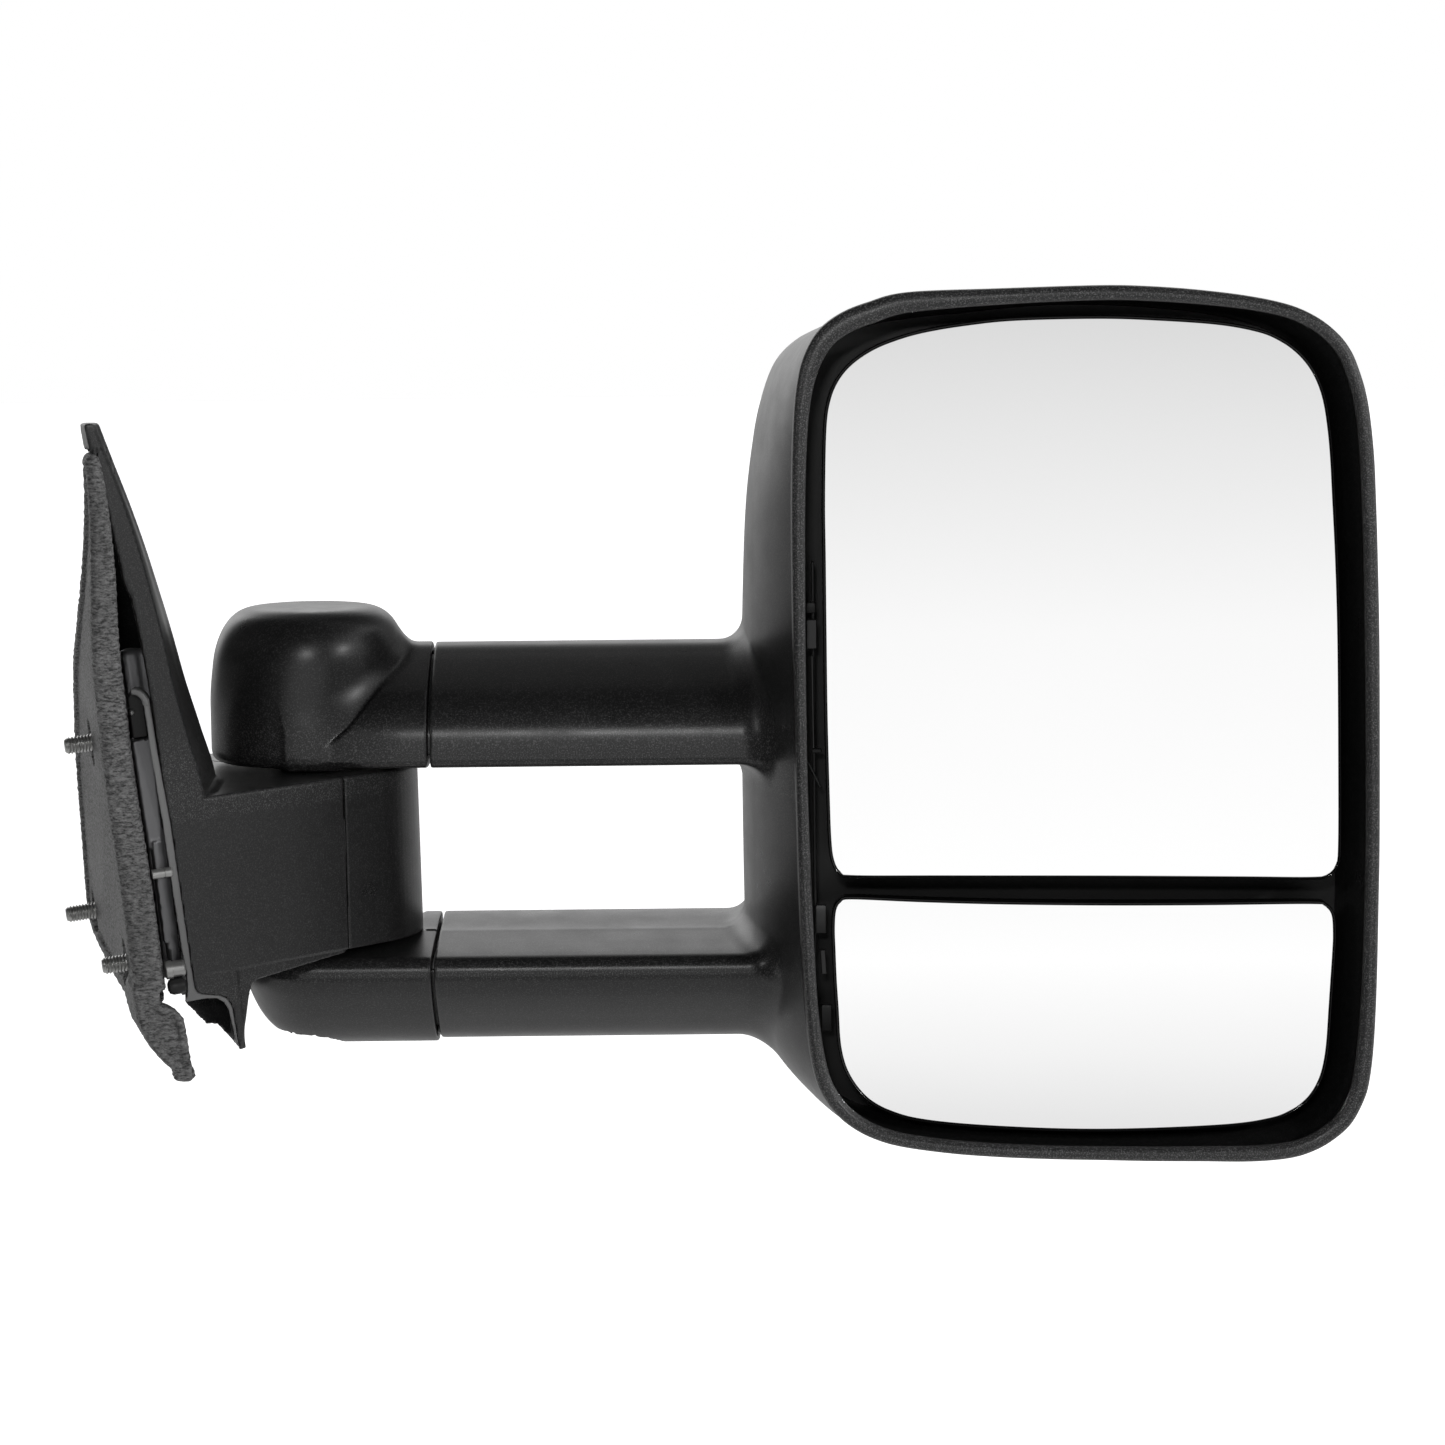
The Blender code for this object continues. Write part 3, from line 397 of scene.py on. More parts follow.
def settle(field, points, reach, steps):
    """Points moved onto the surface, with the field's normals there."""
    FlatField.cubic = True
    for _ in range(steps):
        slopes = gradient(field, points)
        step = field(*points.T) / np.maximum((slopes * slopes).sum(1), 0.2)
        points = points - np.clip(step, -reach, reach)[:, None] * slopes
    slopes = gradient(field, points, 0.3)
    FlatField.cubic = False
    return points, slopes / np.maximum(np.linalg.norm(slopes, axis=1), 1e-6)[:, None]


def vertex_sum(index, vectors, count):
    return np.stack([np.bincount(index, weights=vectors[:, k], minlength=count)
                     for k in range(3)], 1)


def relax(points, quads):
    """Moves each vertex half way to the mean of its neighbours."""
    starts, ends = quads.T.ravel(), np.roll(quads, -1, 1).T.ravel()
    own, other = np.concatenate([starts, ends]), np.concatenate([ends, starts])
    count = np.maximum(np.bincount(own, minlength=len(points)), 1)
    mean = vertex_sum(own, points[other], len(points)) / count[:, None]
    return 0.5 * points + 0.5 * mean


def quad_normals(points, quads):
    """Vertex normals summed from the quads around."""
    normals = np.cross(points[quads[:, 2]] - points[quads[:, 0]],
                       points[quads[:, 3]] - points[quads[:, 1]])
    total = vertex_sum(quads.ravel(), np.repeat(normals, 4, 0), len(points))
    return total / np.maximum(np.linalg.norm(total, axis=1), 1e-12)[:, None]


def mesh_object(name, points, faces, material, body, replaces=(), normals=None, sharp=None):
    """Object from datum points; faces is an array of quads or a list of mixed faces."""
    mesh = bpy.data.meshes.new(name)
    points = to_frame(points)
    if isinstance(faces, np.ndarray):
        count = len(faces)
        mesh.vertices.add(len(points))
        mesh.vertices.foreach_set("co", points.astype(np.float32).ravel())
        mesh.loops.add(4 * count)
        mesh.loops.foreach_set("vertex_index", faces.astype(np.int32).ravel())
        mesh.polygons.add(count)
        mesh.polygons.foreach_set("loop_start", np.arange(0, 4 * count, 4, dtype=np.int32))
        mesh.update(calc_edges=True)
        mesh.validate()
    else:
        mesh.from_pydata([tuple(p) for p in points], [], [tuple(int(i) for i in f) for f in faces])
        mesh.update()
    obj = bpy.data.objects.new(name, mesh)
    bpy.context.scene.collection.objects.link(obj)
    mesh.materials.append(material)
    mesh.shade_smooth()
    if sharp is not None:
        mesh.set_sharp_from_angle(angle=math.radians(sharp))
    if normals is not None:
        mesh.normals_split_custom_set_from_vertices(normals.astype(float).tolist())
    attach(obj, body)
    if replaces:
        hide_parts(*replaces)


def solid(name, field, axes, material, body, *replaces):
    """Object meshed from a field on the grid of the three axes."""
    points, quads = surface_nets(field_grid(field, axes), axes)
    reach = 0.9 * min(np.diff(line).min() for line in axes) + 0.2
    points, normals = settle(field, points, reach, 2)
    for _ in range(2):
        points, normals = settle(field, relax(points, quads), reach, 1)
    facing = quad_normals(points, quads)
    if (facing * normals).sum(1).mean() < 0:
        facing = -facing
    # at crisp edges the field's normal is unreliable, so the quads' own is used
    normals = np.where(((facing * normals).sum(1) < 0.8)[:, None], facing, normals)
    mesh_object(name, points, quads, material, body, replaces, normals=normals)


def sweep(name, rings, material, body, closed=False, **options):
    """Skin through rings of equal count; an open run of rings is capped."""
    rings = [np.asarray(ring, float) for ring in rings]
    count, levels = len(rings[0]), len(rings)
    points = np.concatenate(rings)
    i = np.arange(count)
    j = (i + 1) % count
    faces = []
    for k in range(levels if closed else levels - 1):
        low, high = k * count, ((k + 1) % levels) * count
        faces.append(np.stack([low + i, low + j, high + j, high + i], 1))
    faces = np.concatenate(faces)
    # faces point outwards when the enclosed volume is positive
    p0, p1, p2, p3 = (points[faces[:, k]] for k in range(4))
    volume = np.einsum("ij,ij->i", p0, np.cross(p1, p2) + np.cross(p2, p3)).sum()
    caps = [range(count)[::-1], range((levels - 1) * count, levels * count)]
    if volume < 0:
        faces = faces[:, ::-1]
        caps = [cap[::-1] for cap in caps]
    if not closed:
        faces = [tuple(face) for face in faces] + caps
    mesh_object(name, points, faces, material, body, **options)


def xz_ring(points, y):
    return np.column_stack([points[:, 0], np.broadcast_to(y, len(points)), points[:, 1]])


# ------------------------------------------------------------------ node trees
def grey(value):
    return (value, value, value)


class Graph:
    """Shorthand for building the node tree of a material or world."""

    def __init__(self, owner):
        owner.use_nodes = True
        self.tree = owner.node_tree

    def set(self, node, inputs):
        """Links the inputs given as sockets and sets the others' values."""
        for key, value in inputs.items():
            if isinstance(value, bpy.types.NodeSocket):
                self.tree.links.new(value, node.inputs[key])
            else:
                node.inputs[key].default_value = value

    def add(self, kind, inputs=None, **settings):
        node = self.tree.nodes.new("ShaderNode" + kind)
        for key, value in settings.items():
            setattr(node, key, value)
        self.set(node, inputs or {})
        return node

    def surface(self, inputs):
        self.set(self.tree.nodes["Principled BSDF"], inputs)

    def noise(self, vector, scale, detail=2.0, roughness=0.5, distortion=0.0):
        return self.add("TexNoise", {
            "Scale": scale, "Detail": detail, "Roughness": roughness,
            "Distortion": distortion, "Vector": vector}).outputs["Fac"]

    def mapping(self, vector, scale=(1, 1, 1)):
        return self.add("Mapping", {"Vector": vector, "Scale": scale}).outputs[0]

    def ramp(self, source, stops):
        """Colour ramp through (position, rgb) stops."""
        node = self.add("ValToRGB", {0: source})
        elements = node.color_ramp.elements
        for k, (position, rgb) in zip((0, 1), (stops[0], stops[-1])):
            elements[k].position, elements[k].color = position, (*rgb, 1)
        for position, rgb in stops[1:-1]:
            elements.new(position).color = (*rgb, 1)
        return node.outputs["Color"]

    def remap(self, source, from_min=0.0, from_max=1.0, to_min=0.0, to_max=1.0, **settings):
        return self.add("MapRange", {
            "From Min": from_min, "From Max": from_max, "To Min": to_min, "To Max": to_max,
            "Value": source}, **settings).outputs[0]

    def math(self, operation, *values):
        return self.add("Math", dict(enumerate(values)), operation=operation).outputs[0]

    def grey_colour(self, value):
        return self.add("CombineColor", {0: value, 1: value, 2: value}).outputs[0]

    def bump(self, height, distance):
        return self.add("Bump", {"Strength": 1.0, "Distance": distance,
                                 "Height": height}).outputs["Normal"]


# ------------------------------------------------------------------ materials
def lit_band_glints(graph, position, glint_grain, glint_bands):
    """Strength of the painted glints, raised inside the lit bands with soft edges."""
    for low_z, high_z, end_x, gain in glint_bands:
        split = graph.add("SeparateXYZ", {0: position})
        window, *others = [
            graph.remap(split.outputs[way], start, end, interpolation_type="SMOOTHSTEP")
            for way, start, end in (("Z", high_z + 0.010, high_z - 0.010),
                                    ("Z", low_z - 0.004, low_z),
                                    ("X", end_x + 0.006, end_x - 0.006))]
        for other in others:
            window = graph.math("MULTIPLY", window, other)
        glint_grain = graph.math("MULTIPLY_ADD", window, gain, glint_grain)
    return glint_grain


def shader(name, rgb, rough, metal=0.0, glint_grain=0.0, grain_size=0.3, bump=0.0, vary=0.15,
           wear=0.0, wear_rgb=None, spec=0.5, streak=(1, 1, 1), glint_bands=()):
    """Moulded or metal surface: slow colour variation, fine grain in the bump, painted glints of the
    grain in the colour, uneven roughness and lighter worn edges. grain_size and bump are in
    millimetres."""
    material = bpy.data.materials.new(name)
    graph = Graph(material)
    graph.surface({"Metallic": metal, "Specular IOR Level": spec})
    position = graph.add("TexCoord").outputs["Object"]
    vector = graph.mapping(position, streak)
    slow = graph.noise(vector, scale=14.0, detail=4.0)
    if glint_grain or bump:
        fine = graph.noise(vector, scale=1000.0 / grain_size * 0.5, detail=1.5, roughness=0.6)
    colour = graph.ramp(slow, [(0.35, [c * (1 - vary) for c in rgb]),
                               (0.65, [c * (1 + vary) for c in rgb])])
    if glint_grain:
        # lighter specks added to the colour: painted glints of the grain
        painted_glints = graph.ramp(fine, [(0.50, grey(0)), (0.72, grey(1))])
        mix = graph.add("MixRGB", {"Fac": glint_grain, "Color1": colour, "Color2": painted_glints},
                        blend_type="ADD")
        # more painted glints inside the bands where light falls on the arms
        if glint_bands:
            graph.set(mix, {"Fac": lit_band_glints(graph, position, glint_grain, glint_bands)})
        colour = mix.outputs["Color"]
    if wear:
        pointed = graph.add("NewGeometry").outputs["Pointiness"]
        edges = graph.ramp(pointed, [(0.515, grey(0)), (0.56, grey(1))])
        breaks = graph.ramp(graph.noise(vector, scale=160.0, detail=3.0),
                            [(0.42, grey(0)), (0.62, grey(1))])
        worn = graph.math("MULTIPLY", graph.math("MULTIPLY", edges, breaks), wear)
        colour = graph.add("MixRGB", {"Fac": worn, "Color1": colour,
                                      "Color2": (*wear_rgb, 1)}).outputs["Color"]
    uneven = graph.noise(vector, scale=60.0, detail=5.0, roughness=0.65)
    graph.surface({"Base Color": colour,
                   "Roughness": graph.remap(uneven, to_min=max(0.02, rough - 0.10),
                                            to_max=min(1.0, rough + 0.10))})
    if bump:
        graph.surface({"Normal": graph.bump(fine, bump * 0.001)})
    return material


def foam_shader(name):
    """Moulded foam with a leathery skin: short crosswise wrinkles over a soft mottle."""
    material = bpy.data.materials.new(name)
    graph = Graph(material)
    position = graph.add("TexCoord").outputs["Object"]

    def noise(stretch, **settings):
        return graph.noise(graph.mapping(position, stretch), **settings)
    wrinkle = noise((1.0, 1.0, 2.7), scale=420.0, detail=2.5, roughness=0.6, distortion=0.4)
    pores = noise((1.0, 1.0, 1.3), scale=1300.0, detail=1.5, roughness=0.55)
    mottle = noise((1, 1, 1), scale=22.0, detail=4.0, roughness=0.55)
    height = graph.math("ADD", graph.remap(wrinkle, 0.3, 0.7),
                        graph.remap(pores, 0.3, 0.7, to_max=0.35))
    # colour follows the relief: darker in the troughs and pores, lighter on the crests, which is
    # painted shade and light; the mottle varies it at random
    shade = graph.math("MULTIPLY", graph.remap(height, 0.25, 1.15, to_min=0.030, to_max=0.235),
                       graph.remap(mottle, 0.3, 0.7, to_min=0.75, to_max=1.2))
    graph.surface({"Base Color": graph.grey_colour(shade),
                   "Roughness": graph.remap(mottle, 0.3, 0.7, to_min=0.44, to_max=0.62),
                   "Normal": graph.bump(height, 0.00022)})
    return material


def mirror_shader(name):
    """Silvered glass, very slightly uneven."""
    material = bpy.data.materials.new(name)
    graph = Graph(material)
    cloud = graph.noise(graph.add("TexCoord").outputs["Object"], scale=9.0, detail=6.0)
    shade = graph.remap(cloud, to_min=0.955, to_max=0.975)
    graph.surface({"Metallic": 1.0,
                   "Roughness": graph.remap(cloud, to_min=0.012, to_max=0.03),
                   "Base Color": graph.grey_colour(shade)})
    return material


# Height bands where more glints are painted, for the light from below on the upper arm's lower faces
# and the light on the lower arm's front top edge, in metres: low z, high z, end x, added glint
# strength.
LIT_GLINT_BANDS = ((0.018, 0.046, 0.272, 0.06), (-0.0560, -0.0495, 0.272, 0.06))
# In these two materials the lighter specks in the colour are painted glints of the grain; the bump is
# the grain itself.
GRAINED = shader("grained_black", (0.0120, 0.0120, 0.0123), rough=0.31, glint_grain=0.04,
                 grain_size=0.27, bump=0.022, wear=0.3, wear_rgb=grey(0.05), spec=0.46,
                 glint_bands=LIT_GLINT_BANDS)
GRAINED_COARSE = shader("grained_black_coarse", (0.027, 0.027, 0.0275), rough=0.36, glint_grain=0.15,
                        grain_size=0.29, bump=0.045, wear=0.35, wear_rgb=grey(0.07))
SMOOTH = shader("satin_black", grey(0.025), rough=0.42, bump=0.004, spec=0.28)
# Grey of the cover's edge strip: painted light on an edge of the black cover.
LIT_EDGE_GREY = shader("satin_edge_painted_light", grey(0.17), rough=0.42, bump=0.006)
GLOSS = shader("gloss_black", grey(0.003), rough=0.10, vary=0.1)
NYLON = shader("nylon_black", grey(0.03), rough=0.45, grain_size=0.4, bump=0.01)
CAST = shader("cast_aluminium", (0.17, 0.17, 0.175), rough=0.48, metal=0.6, grain_size=0.6,
              bump=0.05, vary=0.2)
ZINC = shader("zinc_steel", (0.50, 0.50, 0.49), rough=0.36, metal=0.85, bump=0.01, vary=0.12)
STEEL = shader("bright_steel", (0.36, 0.36, 0.37), rough=0.3, metal=1.0, bump=0.006,
               streak=(1, 1, 30))
DRAWN = shader("drawn_aluminium", (0.5, 0.5, 0.52), rough=0.3, metal=1.0, bump=0.006,
               streak=(0.02, 1, 1))
FOAM = foam_shader("foam_skin")
MIRROR = mirror_shader("silvered_glass")
GREY_DARK = shader("satin_dark", grey(0.018), rough=0.35, bump=0.004)
GREY_TAB = shader("satin_tab", grey(0.035), rough=0.35, bump=0.004)

# ------------------------------------------------------------------ head
# Outlines of the head in x, z: the rim bead's outer and inner edges, then the wall further forward.
RIM_OUTER = outline("""
146.7,167.1 108.3,166.3 72.6,165.2 57.2,161.5 46.8,157.4 38.7,151.4 33.5,143.4 30.3,133.1
28.4,116.6 27.4,85.7 27.4,46.9 27.9,7.9 28.3,-31.4 29.2,-70.8 30.5,-102.6 31.9,-122.6
33.8,-136.6 36.8,-146.6 42.2,-154.9 48.5,-160.8 56.9,-165.6 68.2,-169.2 87.9,-172.2
107.6,-173.9 127.3,-174.9 147.0,-175.5 166.7,-176.1 186.4,-176.4 206.1,-176.7 220.8,-175.6
230.2,-173.0 238.2,-168.6 245.4,-162.1 250.3,-153.1 252.7,-144.5 254.3,-128.9 255.2,-105.0
255.6,-73.3 255.8,-49.5 255.5,-10.2 255.0,29.0 254.1,60.1 253.2,83.3 252.1,102.7 249.6,121.9
245.6,135.4 241.9,142.9 236.7,148.9 229.3,154.4 219.2,158.9 204.3,162.3 185.1,164.9 165.9,166.5""")
RIM_INNER = outline("""
146.7,161.4 108.3,160.2 89.1,158.9 69.8,156.4 58.3,153.5 48.7,148.2 40.9,140.6 36.2,129.9
33.8,112.7 32.8,85.7 32.5,46.9 32.5,7.9 33.0,-31.4 34.3,-70.9 35.6,-102.7 37.0,-122.6
39.3,-134.6 43.1,-145.5 48.9,-153.4 56.8,-159.4 68.2,-163.6 87.9,-166.8 107.6,-168.4
127.3,-169.5 166.7,-170.3 206.0,-170.3 220.8,-168.9 229.7,-166.0 238.2,-160.2 244.4,-149.2
247.9,-128.9 249.3,-104.9 250.1,-73.2 250.3,-49.5 250.0,-10.1 249.3,29.0 248.6,60.1 247.6,83.4
246.5,102.7 244.2,122.0 239.5,136.4 234.6,143.6 228.2,149.2 219.4,153.5 204.4,157.1
185.1,159.3 165.9,160.8""")
WALL = outline("""
140,164.5 100,164 62,161 40,151.8 24,139.5 16,121 11.8,99 9.3,75 8.2,42 7.8,5
7.8,-33 8,-72 8.6,-102 10.5,-122 17,-139 29.5,-154.5 46,-166 75,-171 118,-172.5
160,-173 198,-173 218,-171 233,-162.5 242.5,-149 247,-126 249,-78 249.5,-20 248.7,38
246.5,80 243,115 236.5,134 225,147.5 207,156.5 178,162""")
# Sections of the two arms in y, z.
UPPER_SECTION = outline("""
28,-17 28.2,-11 28.8,-5.5 30.5,-0.5 33.2,4.4 38.8,10.2 48,16 60,22 70,25.5 82,25 98,17
106,6 108,-6 107,-15 103,-19.5 92,-20 60,-20 34,-20 30,-19.2""")
LOWER_SECTION = outline("""
28,-104 28.6,-100.2 31.2,-97.6 36.5,-96.3 50,-94.3 67,-92 86,-92 101,-92.5 106,-95 108,-101
107,-112 101,-124 90,-133 78,-136.8 68,-136.5 56,-132.5 44,-123.5 34,-114 29,-107""")
ARM_END_X, SLEEVE_END_X = -117.0, -115.8   # the two sides of the seam across each arm
SLEEVE_REACH_X = 60                        # how far the sleeves run into the head
PARTING_Y, HALF_GAP = 118.5, 0.25          # joint between housing and front cover
HEAD_FRONT_Y = 141.2
HEAD_CENTRE = (131.0, -5.0)

rim_field = FlatField(spline(RIM_OUTER, 700), 1.5)
wall = spline(WALL, 700)
wall_trim = np.interp(wall[:, 0], [10, 22, 32, 42, 52, 70, 92, 115, 135],
                      [0.6, 0.4, 0.7, 1.9, 3.6, 4.1, 3.0, 1.0, 0.0])
wall_trim = wall_trim * np.clip(wall[:, 1] / 70.0, 0, 1)
wall = wall + (inset(wall, 1.0) - wall) * wall_trim[:, None]
wall_field = FlatField(wall, 1.5)
upper_section = FlatField(smooth_section(UPPER_SECTION, [0, 14, 17]) - (0.0, 1.1), 0.8)
lower_plain = FlatField(smooth_section(LOWER_SECTION, [4, 5, 6]), 0.8)


def front_lift(y, z):
    """Lift of the lower arm's front top edge."""
    return 2.7 * smooth_step(y, 64.0, 34.0) * smooth_step(z, -114.0, 12.0)


def lower_section(y, z):
    return lower_plain(y, z - front_lift(y, z))


def head_wall(x, y, z):
    t = np.clip((y - 5.0) / 70.0, 0, 1)
    blend = 1 - (1 - t) ** 1.8
    return ((1 - blend) * rim_field(x, z) + blend * wall_field(x, z)
            + 0.10 * np.maximum(y - 75, 0))


def head_body(x, y, z):
    spread = ((x - HEAD_CENTRE[0]) / 130.0) ** 2 + ((z - HEAD_CENTRE[1]) / 175.0) ** 2
    front = HEAD_FRONT_Y - 5.5 * spread
    return soft_meet(head_wall(x, y, z), y - front, 26.0)


def sleeves(x, y, z):
    return join(*(meet(soft_meet(section(y, z), SLEEVE_END_X - x, 0.9), x - SLEEVE_REACH_X)
                  for section in (upper_section, lower_section)))


def head_skin(x, y, z):
    return soft_join(head_body(x, y, z), sleeves(x, y, z), 9.5)


def head_room(x, y, z):
    """Hollow of the head and of the sleeves."""
    inner = head_body(x, y, z) + 3.5 + 2.8 * smooth_step(y, 9.0, 20.0)
    bore = join(upper_section(y, z), lower_section(y, z)) + 4.4
    return join(inner, meet(bore, x - SLEEVE_REACH_X))


def housing(x, y, z):
    shape = soft_meet(head_skin(x, y, z), 2.2 - y, 1.2)
    shape = meet(shape, y - (PARTING_Y - HALF_GAP))
    return carve(shape, head_room(x, y, z), 0.6)


def front_cover(x, y, z):
    shape = soft_meet(head_skin(x, y, z), (PARTING_Y + HALF_GAP) - y, 0.8)
    shape = carve(shape, head_room(x, y, z), 0.6)
    inner = head_body(x, y, z)
    spigot = meet(inner + 6.65, -(inner + 10.3), slab(y, PARTING_Y, 5.0))
    return soft_join(shape, spigot, 0.5)


def build_head():
    solid("housing_skin", housing, (
        axis(-118, 0.5, -114.5, 3.2, 0, 1.6, 44, 3.4, 232, 1.6, 260),
        axis(-1, 0.9, 6, 1.9, 30, 2.6, 100, 1.8, 116, 0.5, 120),
        axis(-180, 1.9, -130, 1.9, -84, 3.0, -28, 1.9, 34, 3.2, 120, 1.9, 171)),
        GRAINED, "head", "housing_shell")
    solid("front_skin", front_cover, (
        axis(0, 1.9, 60, 3.6, 210, 1.9, 258),
        axis(112.5, 0.75, 121.5, 1.6, 144),
        axis(-178, 1.9, -120, 3.6, 110, 1.9, 171)),
        GRAINED, "head", "front_cover")


def build_rim():
    """Bead round the glass opening, its width set by the nearest points of the two edges."""
    count = 620
    outer, inner = spline(RIM_OUTER, count), spline(RIM_INNER, count)
    width = np.hypot(outer[:, None, 0] - inner[None, :, 0],
                     outer[:, None, 1] - inner[None, :, 1]).min(1)
    wrapped = np.concatenate([width[-12:], width, width[:12]])
    radius = np.convolve(wrapped, np.ones(25) / 25, "valid") / 2
    normal = outward(outer)
    rings = []
    for t in np.linspace(0, 2 * np.pi, 28, endpoint=False):
        offset = -radius + radius * np.cos(t) - 0.05
        rings.append(xz_ring(outer + normal * offset[:, None], 3.1 - 3.0 * np.sin(t)))
    sweep("rim_bead", rings, GRAINED_COARSE, "head", closed=True)


# Small parts between the bead and the inboard edges of the glasses:
# name, low corner, high corner, material, lean of the top in x.
FRAME_PARTS = (
    ("frame_post", (35.4, 26.0, -150.0), (36.6, 30.0, 60.0), SMOOTH, 0.0),
    ("frame_tab_upper", (33.2, 22.0, 26.0), (37.4, 24.5, 37.6), GREY_DARK, 0.0),
    ("frame_tab_top", (33.2, 24.0, 40.0), (37.0, 26.0, 44.0), SMOOTH, 0.0),
    ("frame_rod", (35.2, 22.5, -13.5), (36.2, 24.0, 23.5), GREY_DARK, -0.3),
    ("frame_foot", (35.0, 24.5, -15.5), (39.0, 27.0, -13.8), SMOOTH, 0.0),
    ("frame_brace", (38.0, 25.0, -29.5), (39.0, 26.5, -19.3), GREY_DARK, -4.8),
    ("frame_tile", (36.0, 24.5, -87.5), (40.4, 27.0, -76.3), GREY_TAB, 0.0),
    ("frame_clip", (38.2, 21.0, -103.5), (40.4, 23.0, -93.5), GREY_TAB, -0.6),
    ("frame_tab_low", (38.0, 24.8, -127.0), (42.3, 27.2, -116.5), SMOOTH, 0.0),
)


def frame_box(name, low, high, material, lean):
    """Small box with soft edges."""
    (x0, y0, z0), (x1, y1, z1) = low, high
    edge = min(0.35, 0.3 * min(x1 - x0, y1 - y0, z1 - z0))
    section = [(x0 + edge, y0), (x1 - edge, y0), (x1, y0 + edge), (x1, y1 - edge),
               (x1 - edge, y1), (x0 + edge, y1), (x0, y1 - edge), (x0, y0 + edge)]
    mid_x, mid_y = (x0 + x1) / 2, (y0 + y1) / 2
    end_scale = 1 - 2 * edge / max(x1 - x0, y1 - y0)
    rings = []
    for z, scale in ((z0, end_scale), (z0 + edge, 1), (z1 - edge, 1), (z1, end_scale)):
        shift = lean * ((z - z0) / (z1 - z0))
        rings.append([(mid_x + (x - mid_x) * scale + shift, mid_y + (y - mid_y) * scale, z)
                      for x, y in section])
    sweep(name, rings, material, "head", sharp=30)


# ------------------------------------------------------------------ pivot arms
CAP_TOP, CAP_LOW = 40.7, -20.8
cap_side = [(34.6, CAP_LOW), (36.4, CAP_LOW + 0.7), (37.6, CAP_LOW + 2.2), (38.0, CAP_LOW + 4.5)]
for angle in np.linspace(0, np.pi / 2, 22):   # squarish shoulder from the side up to the top
    cap_side.append((22.0 + (38.0 - 22.0) * math.cos(angle) ** (2 / 2.15),
                     19.0 + (CAP_TOP - 19.0) * math.sin(angle) ** (2 / 2.15)))
cap_field = FlatField([(-r, z) for r, z in cap_side] + [(r, z) for r, z in cap_side[::-1]], 0.6)
# Crease in x, z that bounds the raised part of the upper arm.
CREASE = outline("""
-114,56 -118.5,40 -122.5,31 -126.7,23.4 -131.3,16.2 -137.2,8.6 -143.6,0.6 -148.4,-5.0
-156.5,-11.4 -165,-16.2 -176,-20""")
crease_field = FlatField(np.concatenate([
    [(-100, -40), (-100, 60), (-112, 60)], spline(CREASE, 80, closed=False), [(-190, -40)]]), 0.6)


def narrowed(y, scale):
    """y at which to read a section that is scaled about the pivot."""
    return PIVOT[1] + (y - PIVOT[1]) / scale


def dome(x, y, z):
    return cap_field(pivot_radius(x - 0.5 - 2.9 * smooth_step(z, 2.0, 34.0), y), z)


def low_arm(x, y, z):
    scale = 0.87
    return meet(upper_section(narrowed(y, scale), z) * scale, PIVOT[0] - x)


def upper_skin(x, y, z):
    shape = soft_join(dome(x, y, z), low_arm(x, y, z), 7.5)
    run = np.maximum(0, -126.0 - x)
    scale = 1 - 0.0026 * run * run / (run + 14.0)
    proud = soft_meet(upper_section(narrowed(y, scale), z), crease_field(x, z), 0.8)
    return soft_join(shape, proud, 1.0)


def collar(x, section):
    """Ring in the arm's end that runs on into the sleeve, so the seam is closed."""
    return soft_meet(meet(section + 5.0, -(section + 8.0)), slab(x, ARM_END_X, 4.4), 0.3)


def upper_arm(x, y, z):
    shape = soft_meet(upper_skin(x, y, z), x - ARM_END_X, 0.9)
    room = join(dome(x, y, z), low_arm(x, y, z)) + 3.0
    room = soft_meet(room, CAP_LOW + 5.8 - z, 0.6)
    shape = join(carve(shape, room, 0.6), collar(x, upper_section(y, z)))
    return carve(shape, meet(pivot_radius(x, y) - 13.4, z - 10.0), 0.4)


def lower_skin(x, y, z):
    inboard = np.abs(np.minimum(x + 165.0, 0)) / 32.0
    scale = np.clip(1 - inboard ** 2.2, 0.003, 1) ** 0.4545
    level = z + 1.4 * smooth_step(z, -112.0, -18.0)
    level = level - front_lift(y, level) * smooth_step(x, -129.0, 6.0)
    return scale * lower_plain(narrowed(y, scale), -92 + (level + 92) / scale)


def lower_arm(x, y, z):
    shape = soft_meet(lower_skin(x, y, z), x - ARM_END_X, 0.9)
    shape = carve(shape, soft_meet(lower_skin(x, y, z) + 3.2, z + 99.5, 0.6), 0.6)
    notch = meet(slab(x, -119.2, 2.2), slab(y, 67.6, 0.8), -93.0 - z)   # next to the seam
    shape = join(carve(shape, notch, 0.3), collar(x, lower_section(y, z)))
    return soft_meet(shape, 13.4 - pivot_radius(x, y), 0.4)


def build_arms():
    y_axis = axis(26, 0.8, 34, 1.3, 102, 0.8, 110)
    solid("upper_pivot_skin", upper_arm, (
        axis(-209, 1.0, -165, 1.0, -121, 0.45, -116, 0.8, -111.5), y_axis,
        axis(-22, 0.6, -16, 1.0, 43)),
        GRAINED, "arms", "upper_pivot_arm")
    solid("lower_pivot_skin", lower_arm, (
        axis(-198, 1.0, -165, 1.3, -122, 0.45, -116, 0.8, -111.5), y_axis,
        axis(-139, 1.2, -104, 0.55, -87)),
        GRAINED, "arms", "lower_pivot_arm")


